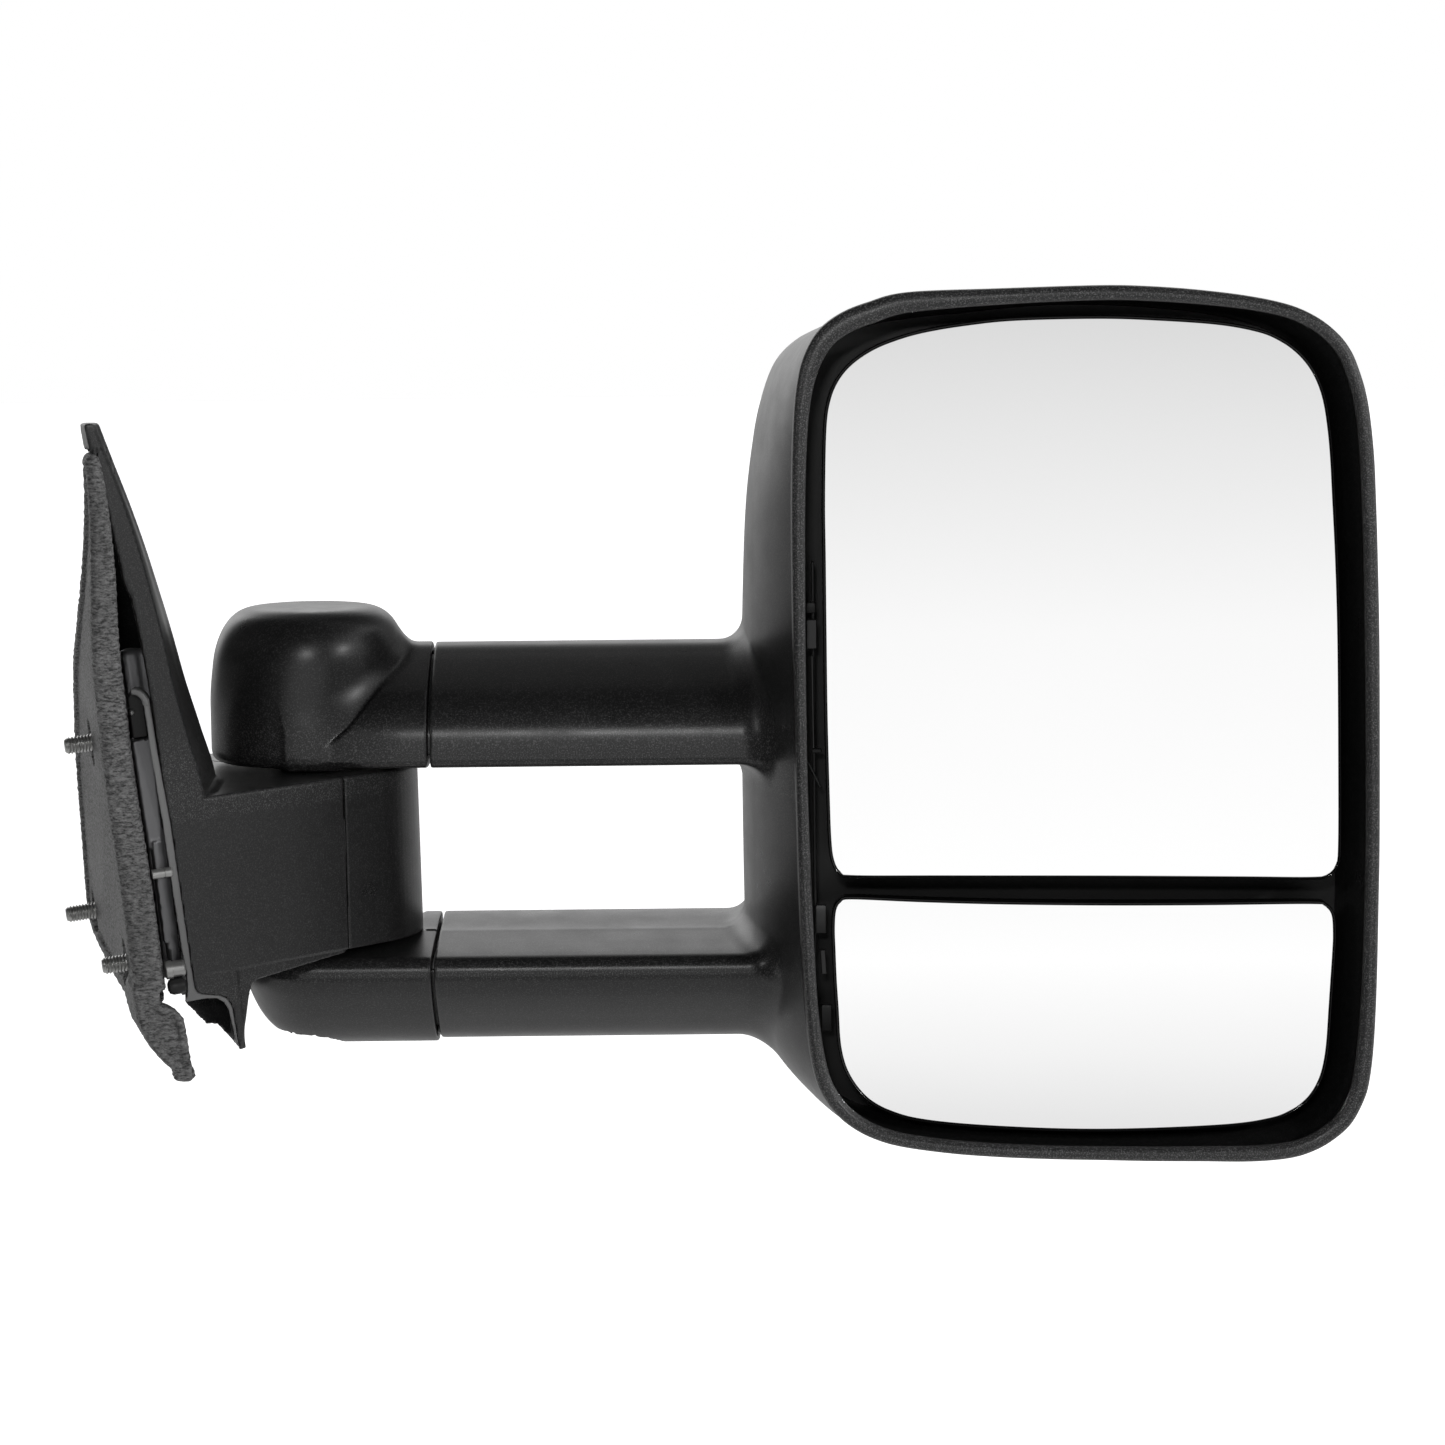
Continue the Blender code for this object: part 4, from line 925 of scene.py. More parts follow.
# ------------------------------------------------------------------ base covers
# The base cover is an upright sail against the door plus a round block about the fold axis.
# Tables are (z, value). The first two are x of the rear face's door-side and outboard edges.
rear_door_edge = smooth_table("""
125,-234.0 121.5,-233.3 115.6,-232.4 103.6,-230.1 88.2,-226.6 64,-222.4 40,-218.4 21.6,-216.0
0,-213.7 -15.7,-212.2 -42,-209.9 -65,-208.1 -88,-205.0 -97.6,-202.2 -104,-199.5""")
rear_outer_edge = smooth_table("""
125,-232.0 121.5,-231.0 119.1,-230.2 107.4,-226.6 91.9,-221.8 74.1,-217.1 54.9,-212.9 39,-209.8
20.3,-206.7 -0.1,-202.3 -22.8,-197.8 -60,-197.0 -104,-197.0""")
# y of the front end, its thickness, and the offsets of its two sides towards the door
front_y = smooth_table("""125,-60 121.5,-58 105,-52 90,-44 62,-26 40,-6 20,16 -20,56 -52,77
-80,92 -98,92 -104,92""")
front_thickness = smooth_table("125,2.5 121.5,3.5 90,7 40,12 -30,16 -104,16")
front_door_offset = smooth_table("""125,-7.5 121.5,-7.6 114,-7.8 109.5,-8.6 106.5,-12.6
103,-13.2 60,-13.3 0,-13.3 -60,-13.3 -104,-13.3""")
front_outer_offset = smooth_table("125,-8.0 121.5,-8.5 64,-15.5 0,-20.0 -60,-22.5 -104,-24.0")

REAR_X, REAR_Y, REAR_SLOPE = -197.8, -31.0, 1.1   # a point on the rear face's line, dy/dx
REAR_WAY = np.array([1.0, REAR_SLOPE]) / math.hypot(1.0, REAR_SLOPE)
REAR_WAY_ROUNDED = (0.6727, 0.7399)   # the same direction, as used for the plan outlines
SAIL_TOP = 121.6
BLOCK_TOP, BLOCK_FOOT = -22.8, -92.0


def rear_y(x):
    return REAR_Y + REAR_SLOPE * (x - REAR_X)


def rear_depth(x, y):
    """Distance in front of the rear face."""
    return -(x - REAR_X) * REAR_WAY[1] + (y - REAR_Y) * REAR_WAY[0]


def seam_side(x, y):
    """Distance past the seam along the rear face: negative on the base cover."""
    return (x + 149.0) * REAR_WAY[0] + (y - 22.5) * REAR_WAY[1]


def sail_plan(z, opened=False):
    """Sail outline at one height; opened, it runs well past the door side."""
    door_edge = float(rear_door_edge(z) + 1.25 * smooth_step(z, 60.0, -3.0))
    outer_edge, end_y = float(rear_outer_edge(z)), float(front_y(z))
    end_x = door_x(end_y, z, float(front_door_offset(z)))
    corner_x = door_x(end_y, z, float(front_outer_offset(z)) - float(front_thickness(z)))
    start, first_y = rear_y(door_edge), rear_y(outer_edge)
    length = end_y - first_y
    curve = spline([
        (outer_edge, first_y), (outer_edge + 0.7, first_y + 0.16 * length),
        (outer_edge * 0.97 + corner_x * 0.03 + 0.9, first_y + 0.34 * length),
        (outer_edge * 0.86 + corner_x * 0.14 + 1.8, first_y + 0.58 * length),
        (outer_edge * 0.52 + corner_x * 0.48 + 1.8, first_y + 0.82 * length),
        (corner_x, end_y - 1.0)], 18, closed=False)
    points = [(door_edge, start)] + [tuple(p) for p in curve]
    if opened:
        away = (door_edge - REAR_WAY_ROUNDED[0] * 15, start - REAR_WAY_ROUNDED[1] * 15)
        return [away] + points + [(end_x - 16, end_y)]
    return points + [(end_x, end_y)]


def block_plan(radius):
    start = math.atan2(-REAR_WAY_ROUNDED[0], REAR_WAY_ROUNDED[1])
    points = [(-214.0, rear_y(-214.0))]
    for i in range(40):
        angle = start + (math.radians(100) - start) * i / 39
        points.append((PIVOT[0] + radius * math.cos(angle), PIVOT[1] + radius * math.sin(angle)))
    return points + [(-236.0, 92.0), (-238.0, 55.0), (-222.0, -10.0)]


levels = np.concatenate([np.arange(-104, 104, 3.25), [104, 108, 112, 116, 119, 122, 125]])
sail_field = StackField(levels, [sail_plan(z) for z in levels], 0.9)
sail_open_field = StackField(levels, [sail_plan(z, opened=True) for z in levels], 0.9)
block_field = StackField([BLOCK_FOOT, BLOCK_TOP], [block_plan(46.4), block_plan(45.2)], 0.9)

# Outlines in x, z on or near the rear face: the skirt below the block and the web behind it.
skirt_field = FlatField(outline("""
-120,-80 -120,-92.2 -148.3,-92.6 -165,-94.6 -175,-96.0 -181.5,-96.9 -183.2,-98.2
-184.3,-101.5 -187.4,-122.8 -188.1,-122.8 -189.2,-113 -190.3,-107.2 -192.0,-103.6 -194.6,-100.9
-198.2,-99.0 -202.2,-97.8 -207.0,-97.4 -207.0,-80"""), 0.6)
web_field = FlatField(outline("""
-208.5,-88 -208.2,-103.6 -201.3,-113.6 -197.5,-114.6 -190.0,-125.6 -189.2,-104 -189.2,-88"""), 0.6)
# Edge strip of the cover: a strip down the door side that runs on round the skirt, grey to paint the
# light that falls on this edge.
strip_field = FlatField(outline("""
-217.4,17.5 -217.1,16.5 -215.2,-2.3 -211.8,-30.5 -208.95,-58.9 -206.8,-78.9 -205.5,-89.0
-205.15,-94.7 -205.4,-98.6 -206.3,-100.4 -204.0,-100.5 -202.0,-100.45 -198.7,-100.6
-195.3,-101.3 -192.9,-103.4 -191.4,-106.8 -190.4,-112.6 -188.9,-121.6 -188.2,-121.8
-189.35,-112.2 -190.15,-105.9 -191.7,-102.3 -194.4,-100.35 -197.5,-99.45 -200.3,-98.6
-201.9,-97.5 -202.75,-95.6 -203.1,-92.5 -203.3,-89.5 -204.1,-80.9 -206.35,-59.4 -209.3,-31.0
-213.1,-2.65 -215.1,14.9 -215.4,17.5"""), 0.5)


def block_skin(x, y, z):
    return soft_meet(soft_meet(block_field(x, y, z), z - BLOCK_TOP, 1.5), -91.6 - z, 0.8)


def block_room(x, y, z):
    return soft_meet(soft_meet(block_field(x, y, z) + 3.4, z + 25.4, 0.5), -89.0 - z, 0.5)


def cover_room(x, y, z):
    """Hollow inside the base covers."""
    thickness = np.interp(z, [-110, 60, 100, 112], [2.5, 2.5, 1.7, 1.3])
    sail = sail_open_field(x, y, z) + thickness + 1.2 * smooth_step(y, -24.0, 16.0)
    return join(meet(sail, z - 112), block_room(x, y, z))


def strip(x, y, z):
    shape = soft_meet(strip_field(x, z), slab(rear_depth(x, y), 1.35, 1.15), 0.45)
    radius = np.hypot(x + 221.4, z - 15.2)   # returns into the opening at the top
    arc = soft_meet(slab(radius, 5.0, 1.05),
                    meet(14.9 - z, -221.8 - x, slab(y, -47.2, 4.2)), 0.5)
    return join(shape, arc)


def base_cover(x, y, z):
    fore, up, side = door_coords(x, y, z)
    seam = seam_side(x, y) + 0.22
    depth = rear_depth(x, y)
    sail = meet(soft_meet(sail_field(x, y, z), z - SAIL_TOP, 1.2), -91.4 - z)
    sail = np.where(z < -22.0, meet(sail, seam), sail)
    block = soft_meet(block_skin(x, y, z), seam_side(x, y) + 0.2, 0.15)
    blend = smooth_step(depth, 0.8, 5.0)   # no fillet on the shared rear plane
    shape = join(sail, block) * (1 - blend) + soft_join(sail, block, 3.0) * blend
    room = join(cover_room(x, y, z), meet(-19.5 - side, z + 20))
    shape = carve(shape, room, 0.5)
    skirt = soft_meet(meet(skirt_field(x, z), seam), slab(depth, 1.4, 1.4), 0.3)
    shape = join(shape, skirt)
    lip = soft_meet(slab(side, -40.4, 1.3),
                    meet(0.3 - depth, y - 88, z + 89.5, -122.8 - 0.03 * (y + 20) - z), 0.4)
    shape = soft_join(shape, lip, 1.0)
    boss_radius = np.hypot(fore - 76.0, up + 116.5)
    boss = soft_meet(boss_radius - 3.4, slab(side, -37.5, 2.0), 0.5)
    shape = join(shape, meet(boss, 1.2 - boss_radius))
    web = soft_meet(web_field(x, z), slab(depth, 14.2, 1.1), 0.4)
    shape = soft_join(shape, web, 0.6)
    shape = soft_meet(shape, 0.22 - strip(x, y, z), 0.15)
    return soft_meet(shape, 15.0 - pivot_radius(x, y), 0.4)


def end_cover(x, y, z):
    shape = soft_meet(block_skin(x, y, z), 0.2 - seam_side(x, y), 0.15)
    shape = carve(shape, block_room(x, y, z), 0.5)
    return soft_meet(shape, 15.0 - pivot_radius(x, y), 0.4)


def build_base():
    solid("base_cover_skin", base_cover, (
        axis(-240, 1.2, -222, 0.8, -186, 1.4, -148),
        axis(-72, 1.2, -55, 0.8, -14, 1.5, 106),
        axis(-129, 0.9, -99, 0.8, -89, 1.9, -27, 0.8, -18, 1.7, 110, 0.9, 123.5)),
        GRAINED, "base", "base_cover")
    solid("cover_edge_strip", strip, (
        axis(-227, 0.55, -186), axis(-58, 0.8, -14),
        axis(-125, 0.55, -88, 1.6, 12, 0.55, 24)),
        LIT_EDGE_GREY, "base")
    solid("end_cover_skin", end_cover, (
        axis(-226, 1.8, -170, 1.25, -120), axis(14, 1.1, 50, 1.6, 116),
        axis(-93.5, 0.6, -88, 2.2, -27, 0.6, -21.5)),
        GRAINED, "base", "pivot_end_cover")


# ------------------------------------------------------------------ bracket
# Outline of the casting on the door face: fore, up.
bracket_field = FlatField(outline("""
21,-90 28,-99 60,-98 136,-94.5 142,-86 139,-78 124,-56 100,-22 66,8 34,28
22,30 19,10 20,-20"""), rounding=3.0)
# Mounting studs: fore, up, length beyond the door face.
STUDS = {"top": (52.6, -7.5, 9.0), "front": (132.9, -87.1, 10.5), "rear": (32.6, -91.4, 8.0)}
# Section of the shield above the casting: depth out from the door face, up.
SHIELD = outline("12.9,-2.5 12.9,13.0 14.6,15.2 17.6,15.2 18.4,13.0 18.4,-2.5")


def upright(fore, up, side):
    """Upright web of the casting, seen between gasket and cover."""
    high = soft_meet(meet(slab(fore, 11.5, 5.2), slab(up, -24, 21)),
                     slab(side, -15.9, 2.9) - 0.02 * np.maximum(up + 45, 0), 0.8)
    low = soft_meet(meet(slab(fore, 12.5, 5.4), slab(up, -68, 30)), slab(side, -17.6, 2.3), 0.8)
    step = soft_meet(meet(slab(fore, 10.5, 5.4), slab(up, -62, 20)), slab(side, -16.2, 1.9), 0.6)
    return soft_join(soft_join(high, low, 0.8), step, 0.6)


def bracket(x, y, z):
    fore, up, side = door_coords(x, y, z)
    edge = bracket_field(fore, up)
    plate = soft_meet(edge, slab(side, -17.6, 1.8), 0.6)
    border = soft_meet(meet(edge, -(edge + 2.6)), slab(side, -20.5, 6.5), 0.6)
    shape = soft_join(plate, border, 1.5)
    shape = soft_join(shape, upright(fore, up, side), 1.0)
    for k in range(6):
        angle = 0.5 + 0.55 * k
        across = (fore - 60) * math.cos(angle) + (up + 50) * math.sin(angle)
        rib = soft_meet(slab(across, 0, 1.3), meet(edge + 1.0, slab(side, -21.5, 4.5)), 0.5)
        shape = soft_join(shape, rib, 1.0)
    for stud_fore, stud_up, _ in STUDS.values():
        radius = np.hypot(fore - stud_fore, up - stud_up)
        boss = soft_meet(radius - 7.6, slab(side, -19.5, 6.6), 0.8)
        shape = soft_join(shape, boss, 1.5)
    # knuckle round the post, and the arm out to it
    radius = pivot_radius(x, y)
    knuckle = soft_meet(radius - 29.0, slab(z, -57.2, 30.8), 1.0)
    arm = soft_meet(slab(z, -57, 20), meet(side + 16.0, -40 - fore, radius - 62), 1.0)
    shape = soft_join(shape, soft_join(knuckle, arm, 3.0), 2.0)
    shape = meet(shape, cover_room(x, y, z) + 0.5)
    return soft_meet(shape, 10.4 - radius, 0.4)


def door_ring(centre, side, radius, angles):
    """Ring about the door normal; radius is one value or one per angle."""
    spokes = np.cos(angles)[:, None] * FORE + np.sin(angles)[:, None] * UP
    return centre + side * TO_DOOR + np.reshape(radius, (-1, 1)) * spokes


def peg(name, fore, up, material, profile):
    """Round peg along the door normal; profile is (side, radius) pairs."""
    centre = door_point(fore, up, 0)
    angles = np.linspace(0, 2 * np.pi, 28, endpoint=False)
    rings = [door_ring(centre, side, radius, angles) for side, radius in outline(profile)]
    sweep(name, rings, material, "base", sharp=40)


def build_bracket():
    solid("bracket_casting", bracket, (
        axis(-252, 0.9, -212, 1.8, -138), axis(-58, 0.9, -30, 1.8, 100), axis(-104, 1.3, 40)),
        CAST, "base", "base_bracket")
    peg("bracket_pin", 4.3, -54.2, ZINC, """-20.2,0.1 -20.2,1.6 -19.9,1.9 -17.5,1.9 -17.4,1.65
        -17.0,1.65 -16.9,1.9 -12.7,1.9 -12.5,1.7 -12.5,0.1""")
    peg("bracket_ferrule", 4.2, -91.4, ZINC, """-20.0,0.1 -20.0,2.7 -19.6,3.1 -15.4,3.1
        -15.2,3.6 -13.0,3.6 -12.7,3.3 -12.7,0.1""")
    peg("bracket_clip", 4.6, -98.1, SMOOTH, """-19.9,0.1 -19.9,1.6 -19.0,2.9 -17.5,3.2
        -14.8,3.2 -13.4,2.6 -12.8,1.4 -12.8,0.1""")
    rings = [[door_point(fore, up, -depth) for depth, up in inset(SHIELD, shrink)]
             for fore, shrink in ((9.0, 0.35), (9.3, 0.0), (12.7, 0.0), (13.0, 0.35))]
    sweep("bracket_shield", rings, SMOOTH, "base", sharp=30)
    peg("bracket_rivet", 8.4, 7.6, ZINC,
        "-14.6,0.1 -14.6,0.9 -14.2,1.2 -13.2,1.2 -12.8,0.8 -12.8,0.1")


# ------------------------------------------------------------------ gasket
# Outline on the door face: fore, up.
gasket_field = FlatField(spline(outline("""
-16,103 -12,107.5 -3.5,107 2,97 10,83 25,62 48,41 79,18 114,-18 137,-55 153,-82
153,-91 146,-99 112,-103.5 79,-106 40,-107 12,-106.5 3.5,-105.5 1.3,-101 1,-80 1.2,-60
4,-20 1.5,0 -2,12 -9,42 -15.5,80"""), 300))
# Section of the flap that hangs below: side, up.
flap_field = FlatField(spline(outline("""
0.0,-96 0.2,-104 0.1,-108.5 -0.9,-113.2 -3.6,-119.8 -7.2,-125.6 -11.0,-130.4 -10.6,-133.0
-11.6,-134.1 -14.7,-134.8 -16.9,-134.5 -17.6,-132.6 -17.5,-126 -17.3,-118 -17.0,-111.8
-15.9,-109.0 -13.2,-106.2 -9.6,-103.9 -8.6,-102.0 -8.6,-96"""), 220), 0.5)
# Short-crested waves of the foam's surface: wave numbers in x, y, z, then phase.
WAVES = ((0.35, 0.5, 2.0, 0.3), (-0.5, 0.45, 1.55, 1.9), (0.55, -0.35, 2.5, 4.0),
         (0.25, 0.9, -1.8, 2.7), (0.75, 0.2, 1.2, 5.1), (-0.2, -0.8, 2.9, 0.9))
WAVE_HEIGHT = 0.085


def waves(x, y, z):
    return sum(WAVE_HEIGHT * np.sin(kx * x + ky * y + kz * z + phase)
               * np.sin(0.37 * (ky * x + kz * y - kx * z) + 2.1 * i)
               for i, (kx, ky, kz, phase) in enumerate(WAVES))


def gasket(x, y, z):
    fore, up, side = door_coords(x, y, z)
    t = np.clip((up - 18) / 88.0, 0, 1.1)
    bent = side + 6.5 * t * t * (3 - 2 * np.minimum(t, 1.0))   # the top leans off the door
    thick = np.interp(up, [-200, -60, 20, 60, 100, 110], [12.0, 12.0, 11.0, 9.5, 6.0, 5.0])
    edge = gasket_field(fore, up)
    shape = soft_meet(edge, np.abs(bent + thick / 2) - thick / 2, 3.2)
    # door face set back inside its border, with a groove just inside that
    shape = carve(shape, soft_meet(edge + 8.5, -(bent + 1.1), 0.6), 0.5)
    shape = carve(shape, meet(slab(edge, -7.2, 0.8), -(bent + 1.6)), 0.4)
    shape = carve(shape, meet(fore - 14.0, up + 98.8, side + 8.8), 0.8)
    # flap below, with a tongue running forward along it
    section = flap_field(side, up)
    flap = soft_meet(section, slab(fore, 6.0, 5.2), 1.3)
    panel = (meet(section + 3.1, fore - 1.7) + 0.9 * smooth_step(side, -3.0, 2.0)
             + 3.0 * smooth_step(up, -105, 3.0))
    flap = carve(flap, panel, 0.7)
    door_side = np.interp(up, [-136, -130.4, -125.6, -119.8, -113.2, -108, -98],
                          [-12.5, -11.0, -7.2, -3.6, -0.9, 0.0, 0.2])
    tongue = soft_meet(np.abs(side - door_side + 3.5) * 0.84 - 3.1,
                       meet(slab(fore, 20.5, 17.5), up + 96, -134.2 - up), 1.6)
    shape = soft_join(shape, soft_join(flap, tongue, 1.0), 1.2)
    shape = shape + waves(x, y, z) * np.where(edge > -6.0, 1.0, 0.35)
    for stud_fore, stud_up, _ in STUDS.values():
        slot = np.hypot(np.maximum(slab(fore, stud_fore, 0.6), 0),
                        np.maximum(slab(up, stud_up, 5.2), 0)) - 3.9
        shape = carve(shape, slot, 0.6)
    return shape


def build_gasket():
    solid("gasket_foam", gasket, (
        axis(-270, 0.9, -196), axis(-90, 1.0, 104), axis(-136, 0.8, -96, 1.0, 114)),
        FOAM, "base", "door_gasket")


def build_studs():
    """Threaded studs, tapered over the last stretch at the door end."""
    count, pitch, crest, thread_depth, taper = 36, 1.25, 3.42, 0.62, 1.2
    angles = np.linspace(0, 2 * np.pi, count, endpoint=False)
    for key, (fore, up, out) in STUDS.items():
        stations = np.concatenate([
            [-31.0, -31.0, -30.4], np.arange(-30.2, out - 1.4, 0.2),
            [out - taper, out - 0.9, out - 0.4, out, out]])
        last = len(stations) - 1
        rings = []
        for k, side in enumerate(stations):
            phase = (side / pitch - angles / (2 * np.pi)) % 1.0
            wave = np.abs(2 * phase - 1)
            radius = crest - thread_depth * np.clip(1.25 * wave - 0.12, 0, 1)
            if k in (0, last):
                radius = 0.15
            elif k in (1, 2):
                radius = 3.0
            elif k >= last - 4:
                radius = np.minimum(radius, 3.3 - 0.9 * max(0.0, (side - (out - taper)) / taper))
            rings.append(door_ring(door_point(fore, up, 0), side, radius, angles))
        sweep("stud_thread_" + key, rings, ZINC, "base", sharp=60,
              replaces=("mounting_stud_" + key,))


# ------------------------------------------------------------------ glasses
# Outlines in x, z.
UPPER_GLASS = outline("""
147.3,154.3 114.9,153.9 95.9,152.2 79.7,149.7 68.5,146.7 59.2,142.9 51.2,137.5 45.9,131.2
42.7,123.5 41.1,112.3 40.4,85.2 40.5,61.8 40.6,30.6 40.8,-0.8 41.4,-32.3 41.9,-48.2
42.9,-56.2 45.4,-60.9 50.4,-62.4 88.6,-62.9 147.4,-63.6 202.3,-64.5 230.5,-65.0 236.8,-64.0
240.1,-60.2 241.0,-52.3 240.8,-18.7 240.1,28.5 239,59.7 237.7,83.1 236.8,98.6 235.7,110.2
233.9,121.3 231.2,129.4 227.6,135.6 222.8,140.8 216.8,145.0 208.8,148.4 193.6,151.4 170.8,153.3""")
LOWER_GLASS = outline("""
43.6,-76.0 45.8,-72.6 50.3,-71.6 76.8,-72.8 108.2,-73.9 147.4,-74.7 186.7,-75.1 229.8,-75.3
235.8,-76.4 238.7,-80.0 239.3,-88.0 239.0,-96.0 238.4,-106.0 237.7,-117.9 237.0,-130.0
236.0,-138.2 234.4,-144.6 231.8,-150.0 228.2,-154.4 222.9,-158.1 215.1,-161.0 198.1,-163.3
162.1,-164.5 131.3,-164.2 96.5,-162.2 75.6,-159.7 64.4,-156.4 57.1,-152.4 52.2,-147.5
48.6,-141.9 46.3,-135.9 44.9,-127.9 44.3,-115.9 43.6,-103.9 43.2,-91.9 43.0,-83.0""")
# Profiles round the glass's edge: offset outwards, y.
GLASS_EDGE = outline("-1.2,11.0 -0.6,11.0 -0.32,11.0 -0.3,11.0 -0.08,11.12 0.0,11.4 0.0,12.7 -0.4,13.0")
LIP = outline("0.10,12.4 0.10,11.35 0.22,11.05 0.42,10.85 0.66,10.8 0.86,10.95 1.0,11.25 1.05,11.8")
HOLDER_SIDE = outline("1.05,16.2 0.7,16.8 0.0,16.9")
# Outline of an ear: z from the glass's centre, y.
EAR = outline("-7,16.6 7,16.6 5.4,30.0 4.2,33.8 1.8,35.6 -1.8,35.6 -4.2,33.8 -5.4,30.0")


def build_glass(prefix, points, centre, sag):
    """One glass, its holder, two ears and four ribs; sag is the depth of a convex glass."""
    body = prefix + "_mirror"
    edge = spline(points, 420)
    normal = outward(edge)
    centre = np.array(centre)

    def ring(offset, y, scale=1.0, flat=False):
        ring_points = edge + normal * offset
        if scale != 1.0:
            ring_points = centre + (ring_points - centre) * scale
        if sag and not flat:
            bend = 98.0 ** 2 / (2 * sag)   # radius of the glass's curve
            from_centre = ring_points - centre
            y = y + (-sag + (from_centre[:, 0] ** 2 + from_centre[:, 1] ** 2) / (2 * bend))
        return xz_ring(ring_points, y)

    scales = [0.02] + list(np.linspace(0.08, 0.96, 14))
    rings = ([ring(0.0, 11.0, scale) for scale in scales]
             + [ring(offset, y) for offset, y in GLASS_EDGE]
             + [ring(-0.4, 13.0, scale) for scale in scales[::-1]])
    sweep(prefix + "_silvering", rings, MIRROR, body, sharp=25, replaces=(prefix + "_glass",))
    # holder: pan under the glass, rounded lip round it, side wall and flat back
    rings = [ring(0.12, 13.4, scale) for scale in np.linspace(0.02, 0.96, 9)] + [ring(0.12, 13.4)]
    rings += [ring(offset, y) for offset, y in LIP]
    rings += [ring(offset, y, flat=True) for offset, y in HOLDER_SIDE]
    rings += [ring(0.0, 16.9, scale, flat=True) for scale in np.linspace(0.95, 0.02, 9)]
    sweep(prefix + "_bezel", rings, GLOSS, body, sharp=35, replaces=(prefix + "_glass_holder",))
    # ears over the ball's cross pin
    ear = spline(EAR + (centre[1], 0.0), 40)
    for key, hand in (("l", -1), ("r", 1)):
        rings = []
        for x, shrink in ((12.2, 0.5), (12.5, 0.0), (15.1, 0.0), (15.4, 0.5)):
            section = inset(ear, shrink)
            rings.append([(centre[0] + hand * x, y, z) for z, y in section])
        sweep(f"{prefix}_ear_{key}", rings, SMOOTH, body, sharp=35)
    # ribs on the holder's back, two upright and two level
    low, high = edge.min(0), edge.max(0)
    for k in range(4):
        level = k % 2
        share = (0.22, 0.78)[k // 2]
        place = low[level] + (high[level] - low[level]) * share
        along = 1 - level
        end_gap = 16 if level else 14
        start, end = low[along] + end_gap, high[along] - end_gap
        rings = []
        for at, half, top in ((start, 0.3, 16.9), (start + 4, 0.9, 18.6),
                              (end - 4, 0.9, 18.6), (end, 0.3, 16.9)):
            section = [(-half, 16.5), (half, 16.5), (half * 0.8, top), (-half * 0.8, top)]
            rings.append([(at, y, place + shift) if level else (place + shift, y, at)
                          for shift, y in section])
        sweep(f"{prefix}_rib_{k}", rings, SMOOTH, body, sharp=30)


# ------------------------------------------------------------------ tubes
def build_tube(key, centre_z):
    """Hollow tube along x with a rounded rectangular section."""
    centre_y, corner, thickness = 69.5, 5, 2.0
    section = []
    for y, z, start in ((16, 5, 0), (-16, 5, 90), (-16, -5, 180), (16, -5, 270)):
        for i in range(9):
            angle = math.radians(start + 90 * i / 8)
            section.append((centre_y + y + corner * math.cos(angle),
                            centre_z + z + corner * math.sin(angle)))
    rings = []
    for x, shrink in ((-145.6, 0.0), (-146.0, 0.4), (-146.0, 1.6), (-145.6, thickness),
                      (74.6, thickness), (75.0, 1.6), (75.0, 0.4), (74.6, 0.0)):
        rings.append([(x, y, z) for y, z in inset(section, shrink)])
    sweep(key + "_tube_skin", rings, DRAWN, "arms", closed=True, sharp=35,
          replaces=(key + "_tube",))


# ------------------------------------------------------------------ parts kept from the frame
CARRIED = (
    (SMOOTH, "carrier_plate"),
    (NYLON, """upper_ball_socket lower_ball_socket upper_pivot_bush lower_pivot_bush
     upper_sleeve_bush upper_inner_bush lower_sleeve_bush lower_inner_bush
     upper_swivel_ball lower_swivel_ball upper_tube_stop lower_tube_stop"""),
    (CAST, "upper_tube_clamp lower_tube_clamp"),
    (STEEL, "pivot_post detent_cam detent_plate fold_spring upper_tube_pin lower_tube_pin"),
    (ZINC, "spring_washer pivot_nut"),
)


def dress_carried():
    for material, names in CARRIED:
        for name in names.split():
            for slot in NODES[name].material_slots:
                slot.material = material


# ------------------------------------------------------------------ studio
def build_camera():
    """Camera behind the glasses' side, looking forwards at the datum's origin."""
    distance, pitch, roll = 1600.0, math.radians(7.0), math.radians(0.6)
    up = Vector((0, math.sin(pitch), math.cos(pitch)))
    ahead = Vector((0, math.cos(pitch), -math.sin(pitch)))
    right = Vector((1, 0, 0))
    matrix = Matrix((math.cos(roll) * right - math.sin(roll) * up,
                     math.sin(roll) * right + math.cos(roll) * up,
                     -ahead)).transposed().to_4x4()
    matrix.translation = Vector(to_frame(tuple(-distance * ahead)))
    data = bpy.data.cameras.new("camera")
    data.sensor_width = 36.0
    data.lens = 102.8155
    data.clip_start, data.clip_end = 0.05, 60.0
    camera = bpy.data.objects.new("camera", data)
    camera.matrix_world = matrix
    bpy.context.scene.collection.objects.link(camera)
    bpy.context.scene.camera = camera


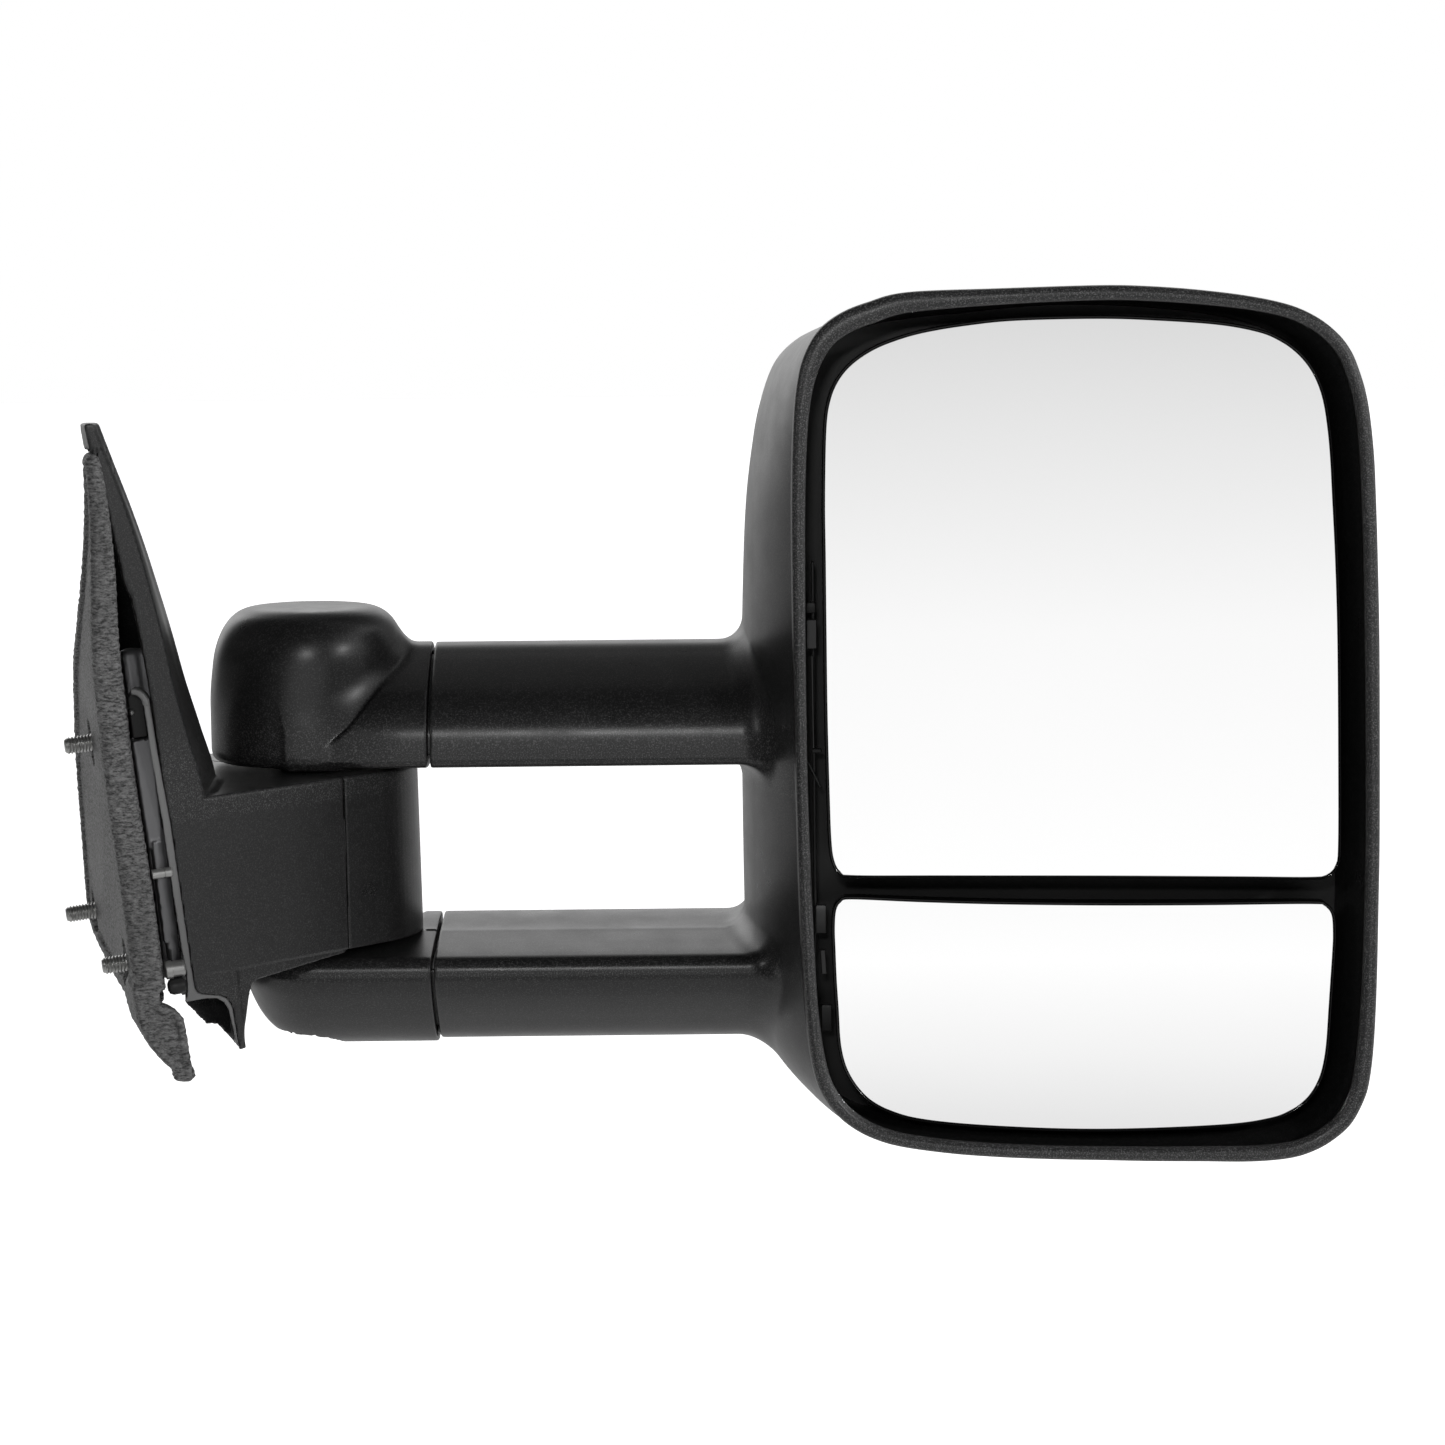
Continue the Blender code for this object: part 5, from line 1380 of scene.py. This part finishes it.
def build_world():
    """Surroundings by direction: (coordinate, brightness) stops along x, y, z and the turn."""
    world = bpy.data.worlds.new("studio")
    bpy.context.scene.world = world
    graph = Graph(world)
    split = graph.add("SeparateXYZ", {0: graph.add("TexCoord").outputs["Generated"]})
    x, y, z = split.outputs

    def curve(source, text):
        stops = outline(text).tolist()
        low, high = stops[0][0], stops[-1][0]
        return graph.ramp(graph.remap(source, low, high),
                          [((at - low) / (high - low), grey(value)) for at, value in stops])

    # bright card the glasses look at: on their side, a little below eye level
    card_z = curve(z, """-0.40,0.0 -0.345,0.62 -0.29,0.72 -0.215,0.93 -0.16,1.04 -0.10,0.98
        -0.05,0.82 -0.022,0.72 0.03,0.55 0.07,0.03""")
    card_x = curve(x, "-0.42,0.0 -0.28,1.0 0.40,1.0 0.55,0.0")
    card_y = curve(y, "-0.35,1.0 0.0,0.0")
    card = graph.math("MULTIPLY", graph.math("MULTIPLY", card_z, card_x), card_y)
    # white wall on the far side, dark flags at the sides, white table below
    wide = curve(graph.math("ARCTAN2", x, y), """
        -3.2,0.05 -0.90,0.03 -0.78,0.12 -0.68,1.45 -0.50,1.45 -0.30,0.85 0.28,0.78 0.48,0.18
        1.0,0.22 1.35,1.5 1.65,1.4 1.88,0.8 2.1,0.60 2.4,0.25 2.7,0.05 3.2,0.05""")
    tall = curve(z, """-0.7,0.25 -0.3,0.36 -0.05,0.66 0.10,1.12 0.32,1.65 0.50,1.45
        0.68,0.42 0.82,0.18 1.0,0.14""")
    backdrop = graph.math("MULTIPLY", wide, tall)
    table = curve(z, "-1.0,0.45 -0.62,0.45 -0.42,0.30 -0.35,0.0")
    total = graph.math("MAXIMUM", graph.math("MAXIMUM", backdrop, table), card)
    # the camera itself sees plain white
    seen = graph.add("LightPath").outputs["Is Camera Ray"]
    strength = graph.add("Mix", {0: seen, 2: total, 3: 1.0}).outputs[0]
    graph.set(graph.tree.nodes["Background"], {"Strength": strength, "Color": (1, 1, 1, 1)})


def build_floor():
    """Pale floor below the mirror that runs off forwards and glows for the camera."""
    z = CAD_BOUNDS[0][2] - 0.22
    mesh = bpy.data.meshes.new("floor")
    mesh.from_pydata([(-6, -0.1, z), (6, -0.1, z), (6, 12, z), (-6, 12, z)], [], [(0, 1, 2, 3)])
    floor = bpy.data.objects.new("floor", mesh)
    bpy.context.scene.collection.objects.link(floor)
    material = bpy.data.materials.new("floor")
    graph = Graph(material)
    seen = graph.add("LightPath").outputs["Is Camera Ray"]
    graph.surface({"Base Color": (0.9, 0.9, 0.9, 1), "Roughness": 0.8,
                   "Emission Color": (1, 1, 1, 1),
                   "Emission Strength": graph.remap(seen, to_min=0.25, to_max=1.0)})
    mesh.materials.append(material)


def build_lamps():
    """Three small lamps in an arc about the upper pivot's dome."""
    centre = to_frame((-169.0, 40.0, 18.0))
    target = Vector((0.1, 0.0, 0.05))
    distance, rise = 1.9, math.radians(14.0)
    for k, (degrees, power) in enumerate(((-50.0, 2.2), (2.0, 4.5), (48.0, 4.5))):
        turn = math.radians(degrees)
        place = Vector((centre[0] + distance * math.sin(turn) * math.cos(rise),
                        centre[1] - distance * math.cos(turn) * math.cos(rise),
                        centre[2] + distance * math.sin(rise)))
        light = bpy.data.lights.new(f"spot{k}", "AREA")
        light.shape = "RECTANGLE"
        light.size, light.size_y = 0.15, 0.08
        light.energy = power
        lamp = bpy.data.objects.new(f"spot{k}", light)
        lamp.location = place
        lamp.rotation_euler = (target - place).to_track_quat("-Z", "Y").to_euler()
        bpy.context.scene.collection.objects.link(lamp)


# ------------------------------------------------------------------ build
build_head()
build_rim()
for frame_part in FRAME_PARTS:
    frame_box(*frame_part)
build_arms()
build_base()
build_bracket()
build_gasket()
build_studs()
build_glass("upper", UPPER_GLASS, (140.7, 45.0), 0.0)
build_glass("lower", LOWER_GLASS, (141.0, -118.3), 2.2)
build_tube("upper", -3.0)
build_tube("lower", -110.0)
dress_carried()
build_camera()
bpy.context.scene.view_settings.view_transform = "Standard"
build_world()
build_floor()
build_lamps()
